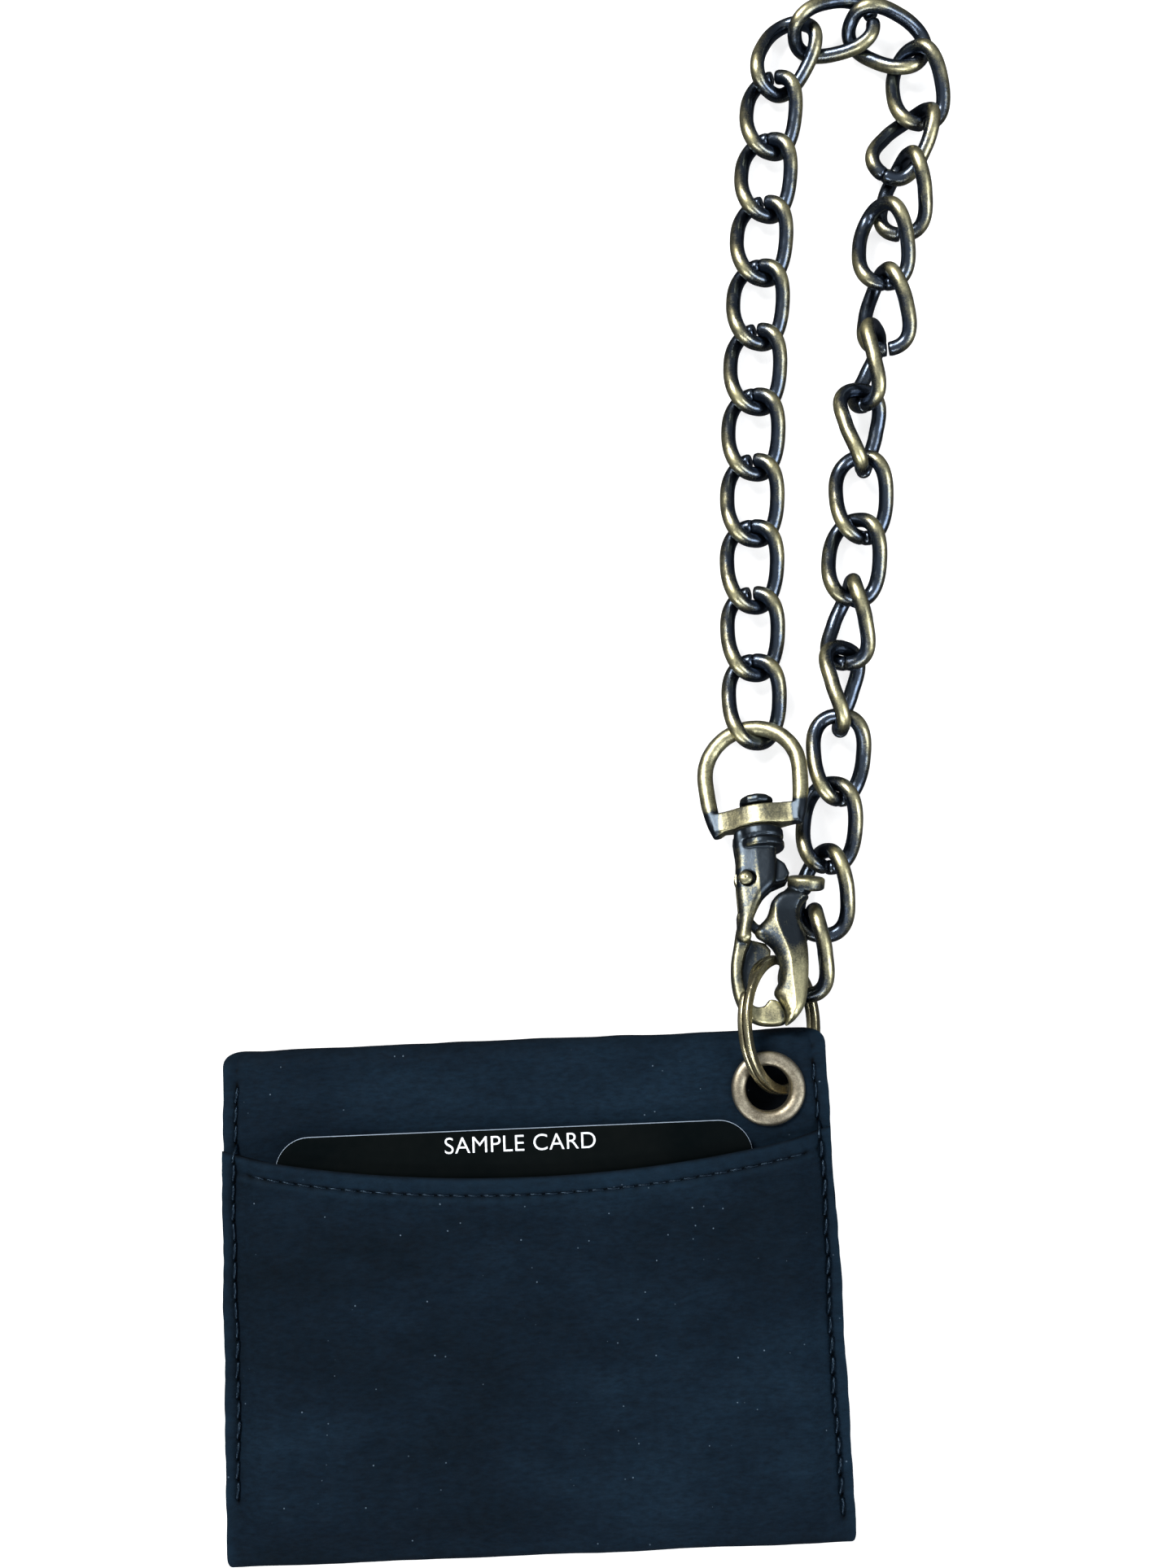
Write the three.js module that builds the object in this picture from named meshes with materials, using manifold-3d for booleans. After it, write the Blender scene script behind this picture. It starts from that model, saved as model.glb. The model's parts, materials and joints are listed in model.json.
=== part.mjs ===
// Trifold chain wallet: a closed leather wallet lying on its front cover, with an eyelet, a split
// ring, a trigger clasp on a swivel D-ring, and a curb chain whose two ends meet on the ring.
// Millimetres, +Z up. Origin: midway along the folds on the front cover's outer face, which rests
// on z = 0.
// +X runs along the folds, +Y towards the edge that carries the eyelet.

import * as THREE from 'three';
import { mergeVertices } from 'three/addons/utils/BufferGeometryUtils.js';
import Module from 'manifold-3d';

const wasm = await Module();
wasm.setup();

// ---------------------------------------------------------------- driving dimensions

const WALLET_W = 109.6;          // along the folds
const WALLET_TOP = 43.5;         // outside of the fold nearest the eyelet
const WALLET_BOTTOM = -46.3;     // outside of the other fold
const WALLET_H = WALLET_TOP - WALLET_BOTTOM;
const GAP = 0.3;                 // between pieces that touch on the real wallet
const OUTER_LEATHER = 1.3;       // shell, pocket and cover leather
const LINING = 0.8;              // thin inner leather
const FOLD_DEPTH = 3.4;          // how far a fold bulges past the flat panels
const CORNER_R = 3;

// stack of the closed wallet, heights of each layer's underside
const COVER_Z = 0;
const COVER_LINING_Z = 1.6;
const COVER_SLOT_Z = 2.7;
const FLAP_Z = 5.6;
const FLAP_LINING_Z = 7.2;
const FLAP_SLOT_Z = 8.3;
const CENTRE_SLOT_Z = 11.2;
const BACK_LINING_Z = 13.9;
const BACK_SHELL_Z = 15;
const BACK_TOP_Z = BACK_SHELL_Z + OUTER_LEATHER;

// back pocket and the card in it
const CARD_W = 85.6;
const CARD_H = 54;
const CARD_T = 0.8;
const CARD_CORNER = 6;
const CARD_X = -2.4;
const CARD_TOP_Y = 27.9;
const CARD_Z = BACK_TOP_Z + 1.3;
const POCKET_Z = CARD_Z + CARD_T + GAP;
const POCKET_TOP_Z = POCKET_Z + OUTER_LEATHER;
const POCKET_MOUTH_Y = 26;       // at the two side seams
const POCKET_SAG = 6.6;          // how far the mouth dips in the middle
const SEAM_W = 3;                // glued and stitched rim

// eyelet
const EYELET_X = 44;
const EYELET_Y = 33;
const EYELET_BORE_R = 4.1;
const EYELET_FLANGE_R = 6.7;
const EYELET_PROUD = 1.1;
const EYELET_WALL = 0.5;
const HOLE_R = EYELET_BORE_R + EYELET_WALL + GAP;

// split ring
const RING_R = 11.9;
const RING_RADIAL = 1.7;
const RING_AXIAL = 2.4;
const RING_CENTRE = [47.2, 44.3, 12.5];
const RING_TILT = 52;            // degrees, right side down

// curb link
const LINK_WIRE = 2.4;
const LINK_W = 9.9;              // between wire centres
const LINK_PITCH = 13.4;
const LINK_PLAY = 0.5;
const LINK_TWIST = 1.75;         // how far the wire swings out of the link's plane
const LINK_CUT = 0.35;           // saw cut that every link is closed at
const LINK_SIDES = 8;
const LINK_STEPS = 20;

// clasp and swivel D-ring, in the clasp's own frame: +Y along the clasp to the chain
const CLASP_AT = [45.7, 53.2, 15.6];
const CLASP_HEADING = 1.2;       // degrees about Z
const CLASP_SLOPE = -15;         // degrees about X, D-ring end down
const D_ROLL = -16;              // D-ring turned about the clasp's long axis, right side up
const CLASP_T = 4.4;
const HOOK_FRONT_Z = 1.1;        // the hook's front face below the fork
const CLAW_BACK_Z = -0.7;        // the lever's back face below the fork
const PIVOT = [-3, 18.6];
const PIVOT_R = 1.2;
const FORK_SLOT = 2.6;
const LEVER_T = 2;
const D_WIRE_R = 1.65;
const D_HALF_W = 9.3;
const D_CENTRE_Y = 40.4;
const D_BAND_Y = 31;
const D_BAND_H = 4;
const POST_R = 1.6;
const POST_CLEARANCE = 0.25;

// ---------------------------------------------------------------- materials

const leather = new THREE.MeshStandardMaterial({ color: 0x17212c, roughness: 0.85 });
const lining = new THREE.MeshStandardMaterial({ color: 0x11161c, roughness: 0.9 });
const brass = new THREE.MeshStandardMaterial({ color: 0x6f6a48, roughness: 0.35, metalness: 1 });
const nickel = new THREE.MeshStandardMaterial({ color: 0x8b877c, roughness: 0.35, metalness: 1 });
const cardStock = new THREE.MeshStandardMaterial({ color: 0x17120f, roughness: 0.4 });

// ---------------------------------------------------------------- helpers

const wallet = new THREE.Group();

function toSolid(geometry) {
  const bare = geometry.clone();
  bare.deleteAttribute('normal');
  bare.deleteAttribute('uv');
  const merged = mergeVertices(bare, 1e-4);
  return new wasm.Manifold(new wasm.Mesh({
    numProp: 3,
    vertProperties: new Float32Array(merged.attributes.position.array),
    triVerts: new Uint32Array(merged.index.array),
  }));
}

function toGeometry(solid) {
  const mesh = solid.getMesh();
  const geometry = new THREE.BufferGeometry();
  geometry.setAttribute('position', new THREE.BufferAttribute(mesh.vertProperties, 3));
  geometry.setIndex(new THREE.BufferAttribute(mesh.triVerts, 1));
  geometry.computeVertexNormals();
  return geometry;
}

function cut(geometry, ...tools) {
  let solid = toSolid(geometry);
  for (const tool of tools) solid = solid.subtract(toSolid(tool));
  return toGeometry(solid);
}

function add(name, geometry, material, parent = wallet) {
  const mesh = new THREE.Mesh(geometry, material);
  mesh.name = name;
  parent.add(mesh);
  return mesh;
}

function slab(shape, z, thickness, curveSegments = 6) {
  const geometry = new THREE.ExtrudeGeometry(shape, {
    depth: thickness, bevelEnabled: false, curveSegments,
  });
  return geometry.translate(0, 0, z);
}

function roundedRect(x0, y0, x1, y1, r) {
  const s = new THREE.Shape();
  s.moveTo(x0 + r, y0);
  s.lineTo(x1 - r, y0);
  s.absarc(x1 - r, y0 + r, r, -Math.PI / 2, 0, false);
  s.lineTo(x1, y1 - r);
  s.absarc(x1 - r, y1 - r, r, 0, Math.PI / 2, false);
  s.lineTo(x0 + r, y1);
  s.absarc(x0 + r, y1 - r, r, Math.PI / 2, Math.PI, false);
  s.lineTo(x0, y0 + r);
  s.absarc(x0 + r, y0 + r, r, Math.PI, 1.5 * Math.PI, false);
  return s;
}

function drum(radius, z, height, x, y, segments = 32) {
  const geometry = new THREE.CylinderGeometry(radius, radius, height, segments);
  return geometry.rotateX(Math.PI / 2).translate(x, y, z + height / 2);
}

function tubeAlong(points, radius, sides, steps, closed = false) {
  const curve = new THREE.CatmullRomCurve3(points, closed);
  const section = new THREE.Shape();
  section.absarc(0, 0, radius, 0, 2 * Math.PI, false);
  return new THREE.ExtrudeGeometry(section, {
    steps, extrudePath: curve, curveSegments: sides / 2,
  });
}

// ---------------------------------------------------------------- leather panels

const PANEL_X = WALLET_W / 2;
const PANEL_TOP = WALLET_TOP - FOLD_DEPTH;
const PANEL_BOTTOM = WALLET_BOTTOM + FOLD_DEPTH;

function panel(name, z, thickness, material, box, holes = []) {
  const shape = roundedRect(...box, CORNER_R);
  const holeTools = holes.map(([x, y, r]) => drum(r, z - 1, thickness + 2, x, y));
  const body = slab(shape, z, thickness, 5);
  return add(name, holeTools.length ? cut(body, ...holeTools) : body, material);
}

const eyeletHole = [EYELET_X, EYELET_Y, HOLE_R];
const coverTop = WALLET_TOP - 0.6;

panel('front_cover_leather', COVER_Z, OUTER_LEATHER, leather,
  [-PANEL_X, PANEL_BOTTOM, PANEL_X, coverTop]);
panel('front_cover_lining', COVER_LINING_Z, LINING, lining,
  [-PANEL_X + 1.6, PANEL_BOTTOM, PANEL_X - 1.6, coverTop - 1.2]);

// card slots: each later layer is shorter, so the mouths step down like stairs
function cardSlots(prefix, count, z, step, box) {
  const [x0, y0, x1, y1] = box;
  for (let i = 0; i < count; i += 1) {
    const mouth = y1 - i * step;
    panel(`${prefix}_${i + 1}`, z + i * (LINING - 0.2 + GAP), LINING - 0.2, leather, [x0, y0, x1, mouth]);
  }
}

cardSlots('front_card_slot', 2, COVER_SLOT_Z, 11, [-PANEL_X + 2, PANEL_BOTTOM + 2, PANEL_X - 2, 18]);

panel('inner_flap_leather', FLAP_Z, OUTER_LEATHER, leather,
  [-PANEL_X + 2, PANEL_TOP - 72, PANEL_X - 5, PANEL_TOP]);
panel('inner_flap_lining', FLAP_LINING_Z, LINING, lining,
  [-PANEL_X + 2.8, PANEL_TOP - 71.2, PANEL_X - 5.8, PANEL_TOP]);
cardSlots('flap_card_slot', 2, FLAP_SLOT_Z, 11, [-PANEL_X + 4, PANEL_TOP - 70, PANEL_X - 8, 16]);

cardSlots('centre_card_slot', 3, CENTRE_SLOT_Z, 9, [-PANEL_X + 2, PANEL_BOTTOM + 2, PANEL_X - 2, 22]);
panel('back_lining', BACK_LINING_Z, LINING, lining,
  [-PANEL_X + 0.8, PANEL_BOTTOM, PANEL_X - 0.8, PANEL_TOP], [eyeletHole]);
panel('back_shell', BACK_SHELL_Z, OUTER_LEATHER, leather,
  [-PANEL_X, PANEL_BOTTOM, PANEL_X, PANEL_TOP], [eyeletHole]);

// back pocket: leather skin over a rim that follows three sides, open at its sagging mouth
function pocketOutline(inset) {
  const x = PANEL_X - inset;
  const bottom = PANEL_BOTTOM + inset;
  const s = new THREE.Shape();
  s.moveTo(-x, POCKET_MOUTH_Y);
  s.lineTo(-x, bottom);
  s.lineTo(x, bottom);
  s.lineTo(x, POCKET_MOUTH_Y);
  s.quadraticCurveTo(0, POCKET_MOUTH_Y - 2 * POCKET_SAG, -x, POCKET_MOUTH_Y);
  return s;
}

const pocketSkin = slab(pocketOutline(0), BACK_TOP_Z + GAP, POCKET_TOP_Z - BACK_TOP_Z - GAP, 16);
const pocketHollow = new THREE.BoxGeometry(
  WALLET_W - 2 * SEAM_W, WALLET_H, POCKET_Z - BACK_TOP_Z - GAP + 1,
).translate(0, PANEL_BOTTOM + SEAM_W + WALLET_H / 2, (POCKET_Z + BACK_TOP_Z + GAP - 1) / 2);
add('back_pocket', cut(pocketSkin, pocketHollow), leather);

const cardBottom = CARD_TOP_Y - CARD_H;
add('card_insert', slab(roundedRect(CARD_X - CARD_W / 2, cardBottom, CARD_X + CARD_W / 2, CARD_TOP_Y,
  CARD_CORNER), CARD_Z, CARD_T, 8), cardStock);

// folds: one strip of the outer leather, bent over the edge of the stack
function fold(name, edgeY, outward, zLow, zHigh) {
  const mid = (zLow + zHigh) / 2;
  const halfOut = (zHigh - zLow) / 2;
  const halfIn = halfOut - OUTER_LEATHER;
  const depthOut = FOLD_DEPTH - GAP;
  const depthIn = depthOut - OUTER_LEATHER;
  const steps = 12;
  const power = 0.62;
  const bend = (half, depth, i) => {
    const a = -Math.PI / 2 + (Math.PI * i) / steps;
    const across = Math.sign(Math.sin(a)) * Math.abs(Math.sin(a)) ** power;
    return new THREE.Vector2(depth * Math.cos(a) ** power, half * across);
  };
  const outline = [];
  for (let i = 0; i <= steps; i += 1) outline.push(bend(halfOut, depthOut, i));
  for (let i = steps; i >= 0; i -= 1) outline.push(bend(halfIn, depthIn, i));
  const strip = new THREE.ExtrudeGeometry(new THREE.Shape(outline), {
    depth: WALLET_W - 1, bevelEnabled: false,
  });
  const place = new THREE.Matrix4().makeBasis(
    new THREE.Vector3(0, outward, 0), new THREE.Vector3(0, 0, 1), new THREE.Vector3(outward, 0, 0),
  );
  strip.applyMatrix4(place);
  strip.translate(-outward * (WALLET_W - 1) / 2, edgeY + outward * GAP, mid);
  add(name, strip, leather);
}

fold('top_fold', PANEL_TOP, 1, FLAP_Z, BACK_TOP_Z);
fold('bottom_fold', PANEL_BOTTOM, -1, COVER_Z, POCKET_TOP_Z);

// ---------------------------------------------------------------- eyelet

function lathed(profile, segments = 40) {
  const points = profile.map(([r, z]) => new THREE.Vector2(r, z));
  points.push(points[0].clone());
  return new THREE.LatheGeometry(points, segments).rotateX(Math.PI / 2);
}

const barrelBottom = BACK_LINING_Z - GAP - 0.1;
add('eyelet', lathed([
  [EYELET_BORE_R, barrelBottom],
  [EYELET_BORE_R + EYELET_WALL, barrelBottom],
  [EYELET_BORE_R + EYELET_WALL, BACK_TOP_Z + 0.1],
  [EYELET_FLANGE_R, BACK_TOP_Z + 0.1],
  [EYELET_FLANGE_R - 0.4, BACK_TOP_Z + 0.75],
  [(EYELET_FLANGE_R + EYELET_BORE_R) / 2, BACK_TOP_Z + EYELET_PROUD],
  [EYELET_BORE_R + 0.35, BACK_TOP_Z + 0.75],
]).translate(EYELET_X, EYELET_Y, 0), nickel);
add('eyelet_washer', lathed([
  [EYELET_BORE_R + EYELET_WALL + 0.05, BACK_LINING_Z - 0.5],
  [EYELET_FLANGE_R - 1, BACK_LINING_Z - 0.5],
  [EYELET_FLANGE_R - 0.8, BACK_LINING_Z - 0.1],
  [EYELET_BORE_R + EYELET_WALL + 0.05, BACK_LINING_Z - 0.1],
]).translate(EYELET_X, EYELET_Y, 0), nickel);

// ---------------------------------------------------------------- split ring

const ringGroup = new THREE.Group();
ringGroup.position.set(...RING_CENTRE);
ringGroup.rotation.y = THREE.MathUtils.degToRad(RING_TILT);
wallet.add(ringGroup);
const ringCorner = 0.45;
add('split_ring', lathed([
  [RING_R - RING_RADIAL / 2 + ringCorner, -RING_AXIAL / 2],
  [RING_R + RING_RADIAL / 2 - ringCorner, -RING_AXIAL / 2],
  [RING_R + RING_RADIAL / 2, -RING_AXIAL / 2 + ringCorner],
  [RING_R + RING_RADIAL / 2, RING_AXIAL / 2 - ringCorner],
  [RING_R + RING_RADIAL / 2 - ringCorner, RING_AXIAL / 2],
  [RING_R - RING_RADIAL / 2 + ringCorner, RING_AXIAL / 2],
  [RING_R - RING_RADIAL / 2, RING_AXIAL / 2 - ringCorner],
  [RING_R - RING_RADIAL / 2, -RING_AXIAL / 2 + ringCorner],
], 48), brass, ringGroup);

// ---------------------------------------------------------------- trigger clasp

const clasp = new THREE.Group();
clasp.position.set(...CLASP_AT);
clasp.rotation.order = 'ZXY';
clasp.rotation.z = THREE.MathUtils.degToRad(CLASP_HEADING);
clasp.rotation.x = THREE.MathUtils.degToRad(CLASP_SLOPE);
wallet.add(clasp);

function outline(points) {
  return new THREE.Shape(points.map(([x, y]) => new THREE.Vector2(x, y)));
}

function plate(shape, thickness, z = 0) {
  return slab(shape, z - thickness / 2, thickness, 8);
}

function postAlongY(radius, y0, y1, segments = 20) {
  return new THREE.CylinderGeometry(radius, radius, y1 - y0, segments).translate(0, (y0 + y1) / 2, 0);
}

// hook: the shank runs down the left and curls round to a short tip
const hookShape = new THREE.Shape();
hookShape.moveTo(-4.4, 24.6);
hookShape.lineTo(-5, 22);
hookShape.quadraticCurveTo(-5.7, 13, -5.6, 9);
hookShape.bezierCurveTo(-6.8, 5, -6.6, -1, -5.6, -4);
hookShape.bezierCurveTo(-4.4, -7.4, -2, -8.9, 0.6, -8.9);
hookShape.lineTo(1.6, -7.2);
hookShape.lineTo(0.8, -4.6);
hookShape.bezierCurveTo(-2, -5.4, -3.4, -3.2, -3.4, 0);
hookShape.bezierCurveTo(-3.5, 3, -3.2, 6, -3, 8);
hookShape.lineTo(-2.7, 11);
hookShape.lineTo(-1.1, 16.2);
hookShape.lineTo(3.1, 17.6);
hookShape.lineTo(4.9, 19.6);
hookShape.lineTo(4.3, 22.6);
hookShape.lineTo(3.4, 24.6);
hookShape.closePath();

const forkSlot = new THREE.BoxGeometry(10, 12.4, FORK_SLOT).translate(-1.3, 15.1, 0);
const rivetHole = drum(PIVOT_R + 0.1, -5, 10, ...PIVOT, 20);
const hookFront = new THREE.BoxGeometry(20, 30, 4).translate(0, -6.2, HOOK_FRONT_Z + 2);
const clawBack = new THREE.BoxGeometry(20, 30, 4).translate(0, -6.2, CLAW_BACK_Z - 2);
const collar = new THREE.CylinderGeometry(3.9, 4.3, 4.6, 24).translate(0, 26.2, 0);
const stem = postAlongY(POST_R, 26, D_BAND_Y + D_BAND_H / 2 + 2);
const stemHead = new THREE.CylinderGeometry(2.4, 3, 2.2, 12)
  .translate(0, D_BAND_Y + D_BAND_H / 2 + 1.5, 0);
add('clasp_body', toGeometry(
  toSolid(plate(hookShape, CLASP_T))
    .add(toSolid(collar))
    .subtract(toSolid(forkSlot))
    .subtract(toSolid(hookFront))
    .subtract(toSolid(rivetHole))
    .add(toSolid(stem))
    .add(toSolid(stemHead)),
), brass, clasp);

// lever: a tongue in the fork, an arm over the opening, a thumb tab and a claw that closes the hook
const leverArm = new THREE.Shape();
leverArm.moveTo(-4.4, 17);
leverArm.lineTo(-2, 19.6);
leverArm.lineTo(0.8, 15.2);
leverArm.quadraticCurveTo(2.4, 15.6, 3.2, 16);
leverArm.lineTo(6.4, 18.2);
leverArm.lineTo(7.4, 17.6);
leverArm.quadraticCurveTo(5.4, 13, 6.2, 10);
leverArm.bezierCurveTo(7.4, 6, 8.4, 1, 6.9, -3.7);
leverArm.quadraticCurveTo(5.6, -7.6, 3.2, -9.2);
leverArm.lineTo(2.1, -8.6);
leverArm.quadraticCurveTo(2.9, -5, 1.9, -3);
leverArm.bezierCurveTo(1.4, -1, 2.6, 2.4, 1.6, 4.6);
leverArm.quadraticCurveTo(0.4, 6.8, -2, 7.6);
leverArm.lineTo(-2.3, 10.6);
leverArm.lineTo(-4, 15);
leverArm.closePath();

const clawMask = toSolid(new THREE.BoxGeometry(14, 20, CLASP_T + 1).translate(4.6, 0.4, 0))
  .add(toSolid(new THREE.BoxGeometry(12, 10, CLASP_T + 1).translate(6.8, 11.4, 0)));
const thumbTab = new THREE.CylinderGeometry(3.3, 3, 1.8, 24).translate(8.2, 18.6, 0);
add('clasp_lever', toGeometry(
  toSolid(plate(leverArm, LEVER_T))
    .add(toSolid(drum(2.3, -LEVER_T / 2, LEVER_T, ...PIVOT, 24)))
    .add(toSolid(plate(leverArm, CLASP_T)).intersect(clawMask))
    .subtract(toSolid(clawBack))
    .add(toSolid(thumbTab))
    .subtract(toSolid(rivetHole)),
), brass, clasp);

const rivetLength = CLASP_T + 0.4;
const rivetHead = 0.7;
add('lever_rivet', lathed([
  [0, -rivetLength / 2 - rivetHead],
  [PIVOT_R + 0.5, -rivetLength / 2 - rivetHead],
  [PIVOT_R + 0.5, -rivetLength / 2],
  [PIVOT_R, -rivetLength / 2],
  [PIVOT_R, rivetLength / 2],
  [PIVOT_R + 0.5, rivetLength / 2],
  [PIVOT_R + 0.5, rivetLength / 2 + rivetHead],
  [0, rivetLength / 2 + rivetHead],
], 20).translate(...PIVOT, 0), brass, clasp);

// D-ring: a bent wire whose ends meet a flat bar with the swivel hole
const swivel = new THREE.Group();
swivel.rotation.y = THREE.MathUtils.degToRad(D_ROLL);
clasp.add(swivel);
const dArc = [];
const bandHalf = D_HALF_W - 2.2;
dArc.push(new THREE.Vector3(-bandHalf, D_BAND_Y, 0));
dArc.push(new THREE.Vector3(-D_HALF_W + 0.6, D_BAND_Y + 3, 0));
for (let i = 0; i <= 8; i += 1) {
  const a = Math.PI - (Math.PI * i) / 8;
  dArc.push(new THREE.Vector3(D_HALF_W * Math.cos(a), D_CENTRE_Y + 9.3 * Math.sin(a), 0));
}
dArc.push(new THREE.Vector3(D_HALF_W - 0.6, D_BAND_Y + 3, 0));
dArc.push(new THREE.Vector3(bandHalf, D_BAND_Y, 0));
const dWire = tubeAlong(dArc, D_WIRE_R, 10, 44);
const dBand = new THREE.BoxGeometry(2 * bandHalf + 2.4, D_BAND_H, 2.8).translate(0, D_BAND_Y + 0.2, 0);
const swivelHub = postAlongY(2.9, D_BAND_Y + 0.2 - D_BAND_H / 2, D_BAND_Y + 0.2 + D_BAND_H / 2);
add('swivel_d_ring', toGeometry(
  toSolid(dWire).add(toSolid(dBand)).add(toSolid(swivelHub))
    .subtract(toSolid(postAlongY(POST_R + POST_CLEARANCE, D_BAND_Y - 6, D_BAND_Y + 6))),
), brass, swivel);

// ---------------------------------------------------------------- curb chain

// One twisted link: an oval of wire whose two sides lean opposite ways, sawn through at one end.
function linkGeometry() {
  const halfLength = (LINK_PITCH + LINK_WIRE + LINK_PLAY) / 2;
  const cutAngle = LINK_CUT / LINK_W;
  const points = [];
  for (let i = 0; i <= LINK_STEPS; i += 1) {
    const a = Math.PI / 2 + cutAngle + ((2 * Math.PI - 2 * cutAngle) * i) / LINK_STEPS;
    points.push(new THREE.Vector3(
      (LINK_W / 2) * Math.cos(a), halfLength * Math.sin(a), LINK_TWIST * Math.sin(2 * a),
    ));
  }
  return tubeAlong(points, LINK_WIRE / 2, LINK_SIDES, LINK_STEPS);
}

// Left leg: links lie flat and nearly straight, with a slight lean to the right.
function leftLeg(count) {
  const rolls = [5, 5, 5];
  const along = 13.5;
  return Array.from({ length: count }, (_, k) => {
    const lean = 0.35 + 0.085 * (2 * k + 1);
    const heading = THREE.MathUtils.radToDeg(Math.atan2(along, lean));
    return [46.7 + 0.35 * k + 0.085 * k * k, 106.3 + along * k, 3.2, heading, 0, rolls[k] ?? 0];
  });
}

// Where the other links lie: centre x, y, z, heading of the long axis, rise, and roll about it.
// The arch leans and tilts link on link, and the right leg holds two half twists.
const ARCH_AND_RIGHT_LEG = [
  [60.25, 240.25, 3.5, 60, 0, 5],
  [70.25, 245.25, 5, 10, 1, 25],
  [81.25, 243, 4.25, -28, -4, 20],
  [86.75, 232.25, 4.25, -85, -1, 20],
  [83.5, 220, 4.75, -125, -2, 30],
  [82.5, 208.75, 5, -98, -8, 45],
  [77.25, 197.75, 6.25, -91, -2, 25],
  [77, 184.25, 5.5, -91, 0, 45],
  [73, 172.5, 6.25, -100, 0, 90],
  [70.5, 159.75, 5.5, -91, 0, 135],
  [70, 146.5, 3.75, -91, -2, 180],
  [67.75, 133.75, 4.25, -97, 1, 190],
  [65.75, 121, 5.75, -97, -3, 240],
  [63.5, 108, 5.75, -95, 3, 300],
  [62.25, 94.75, 4.5, -93, -3, 350],
  [59.75, 81.75, 4, -98, 1, 370],
  [57.75, 68.75, 5.25, -98, 1, 395],
  [54, 57.5, 6.75, -101, 6, 420],
];
const LINKS = [...leftLeg(10), ...ARCH_AND_RIGHT_LEG];

const link = linkGeometry();
LINKS.forEach(([x, y, z, heading, rise, roll], i) => {
  const pose = new THREE.Group();
  pose.position.set(x, y, z);
  pose.rotation.order = 'ZXY';
  pose.rotation.z = THREE.MathUtils.degToRad(heading - 90);
  pose.rotation.x = THREE.MathUtils.degToRad(rise);
  pose.rotation.y = THREE.MathUtils.degToRad(roll);
  wallet.add(pose);
  add(`chain_link_${String(i + 1).padStart(2, '0')}`, link.clone(), brass, pose);
});

export default wallet;
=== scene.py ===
"""Trifold chain wallet, lying closed on its front cover.

Leather sheets, stitches, card, eyelet, split ring, trigger clasp and curb chain are built as fine
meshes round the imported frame. Lengths in this script are millimetres in the frame's axes, and are
turned into metres where a mesh is made.
"""

import json
import math

import bmesh
import bpy
import numpy as np
from mathutils import Matrix, Vector
from mathutils.bvhtree import BVHTree


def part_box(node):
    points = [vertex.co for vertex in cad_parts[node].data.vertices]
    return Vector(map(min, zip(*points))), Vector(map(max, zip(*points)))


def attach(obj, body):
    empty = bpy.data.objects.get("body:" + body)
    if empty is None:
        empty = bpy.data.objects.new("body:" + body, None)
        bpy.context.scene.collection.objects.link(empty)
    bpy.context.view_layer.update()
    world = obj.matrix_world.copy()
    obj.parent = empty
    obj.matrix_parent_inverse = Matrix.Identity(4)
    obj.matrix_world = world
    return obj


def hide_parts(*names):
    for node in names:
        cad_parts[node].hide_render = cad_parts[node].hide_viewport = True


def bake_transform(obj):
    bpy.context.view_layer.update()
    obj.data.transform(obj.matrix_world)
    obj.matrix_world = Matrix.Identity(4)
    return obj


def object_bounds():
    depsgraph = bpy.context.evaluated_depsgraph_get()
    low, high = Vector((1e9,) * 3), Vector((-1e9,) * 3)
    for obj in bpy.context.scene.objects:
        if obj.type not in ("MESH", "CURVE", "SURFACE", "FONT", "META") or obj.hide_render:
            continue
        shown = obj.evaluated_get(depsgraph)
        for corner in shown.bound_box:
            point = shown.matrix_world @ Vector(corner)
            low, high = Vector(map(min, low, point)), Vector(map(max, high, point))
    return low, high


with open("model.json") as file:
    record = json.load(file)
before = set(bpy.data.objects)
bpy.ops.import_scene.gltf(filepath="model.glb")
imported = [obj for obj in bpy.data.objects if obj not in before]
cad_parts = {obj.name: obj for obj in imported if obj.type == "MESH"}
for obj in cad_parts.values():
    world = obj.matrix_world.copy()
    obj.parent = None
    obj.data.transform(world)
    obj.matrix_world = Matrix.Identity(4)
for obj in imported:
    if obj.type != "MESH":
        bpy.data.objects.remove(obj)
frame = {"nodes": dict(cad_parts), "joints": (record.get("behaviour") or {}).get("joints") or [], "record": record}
cad_box = [list(corner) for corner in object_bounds()]

MM = 0.001
UP = (0, 0, 1)
rng = np.random.default_rng(7)

# ------------------------------------------------------------------ sizes taken from the frame


def box_mm(node):
    low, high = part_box(node)
    return np.array(low) / MM, np.array(high) / MM


def joint(name):
    return next(j for j in frame["joints"] if j["name"] == name)


shell_lo, shell_hi = box_mm("back_shell")
pocket_hi = box_mm("back_pocket")[1]
cover_lo, cover_hi = box_mm("front_cover_leather")
flap_lo, flap_hi = box_mm("inner_flap_leather")
card_lo, card_hi = box_mm("card_insert")
eyelet_lo, eyelet_hi = box_mm("eyelet")

HALF_W = shell_hi[0]
LEATHER = shell_hi[2] - shell_lo[2]
PANEL_TOP = shell_hi[1]
PANEL_BOTTOM = shell_lo[1]
CORNER = 3.0
RIM_WORN = 1.2

EYELET = (eyelet_lo + eyelet_hi) / 2
EYELET_FLANGE = (eyelet_hi[0] - eyelet_lo[0]) / 2
EYELET_BORE = EYELET_FLANGE - 2.6

POCKET_MOUTH = pocket_hi[1]
POCKET_SAG = 6.6
MOUTH_SEAM = 3.0
MOUTH_PITCH = 2.75

SEAM_X = HALF_W - 2.2
SEAM_PITCH = 3.4
SEAM_END_Y = -34.0
SEAM_FIRST = {-1: 0, 1: -2}     # each side's lowest hole, in pitches from SEAM_END_Y

# ------------------------------------------------------------------ small maths


def unit(v):
    v = np.asarray(v, float)
    return v / np.linalg.norm(v)


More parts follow.
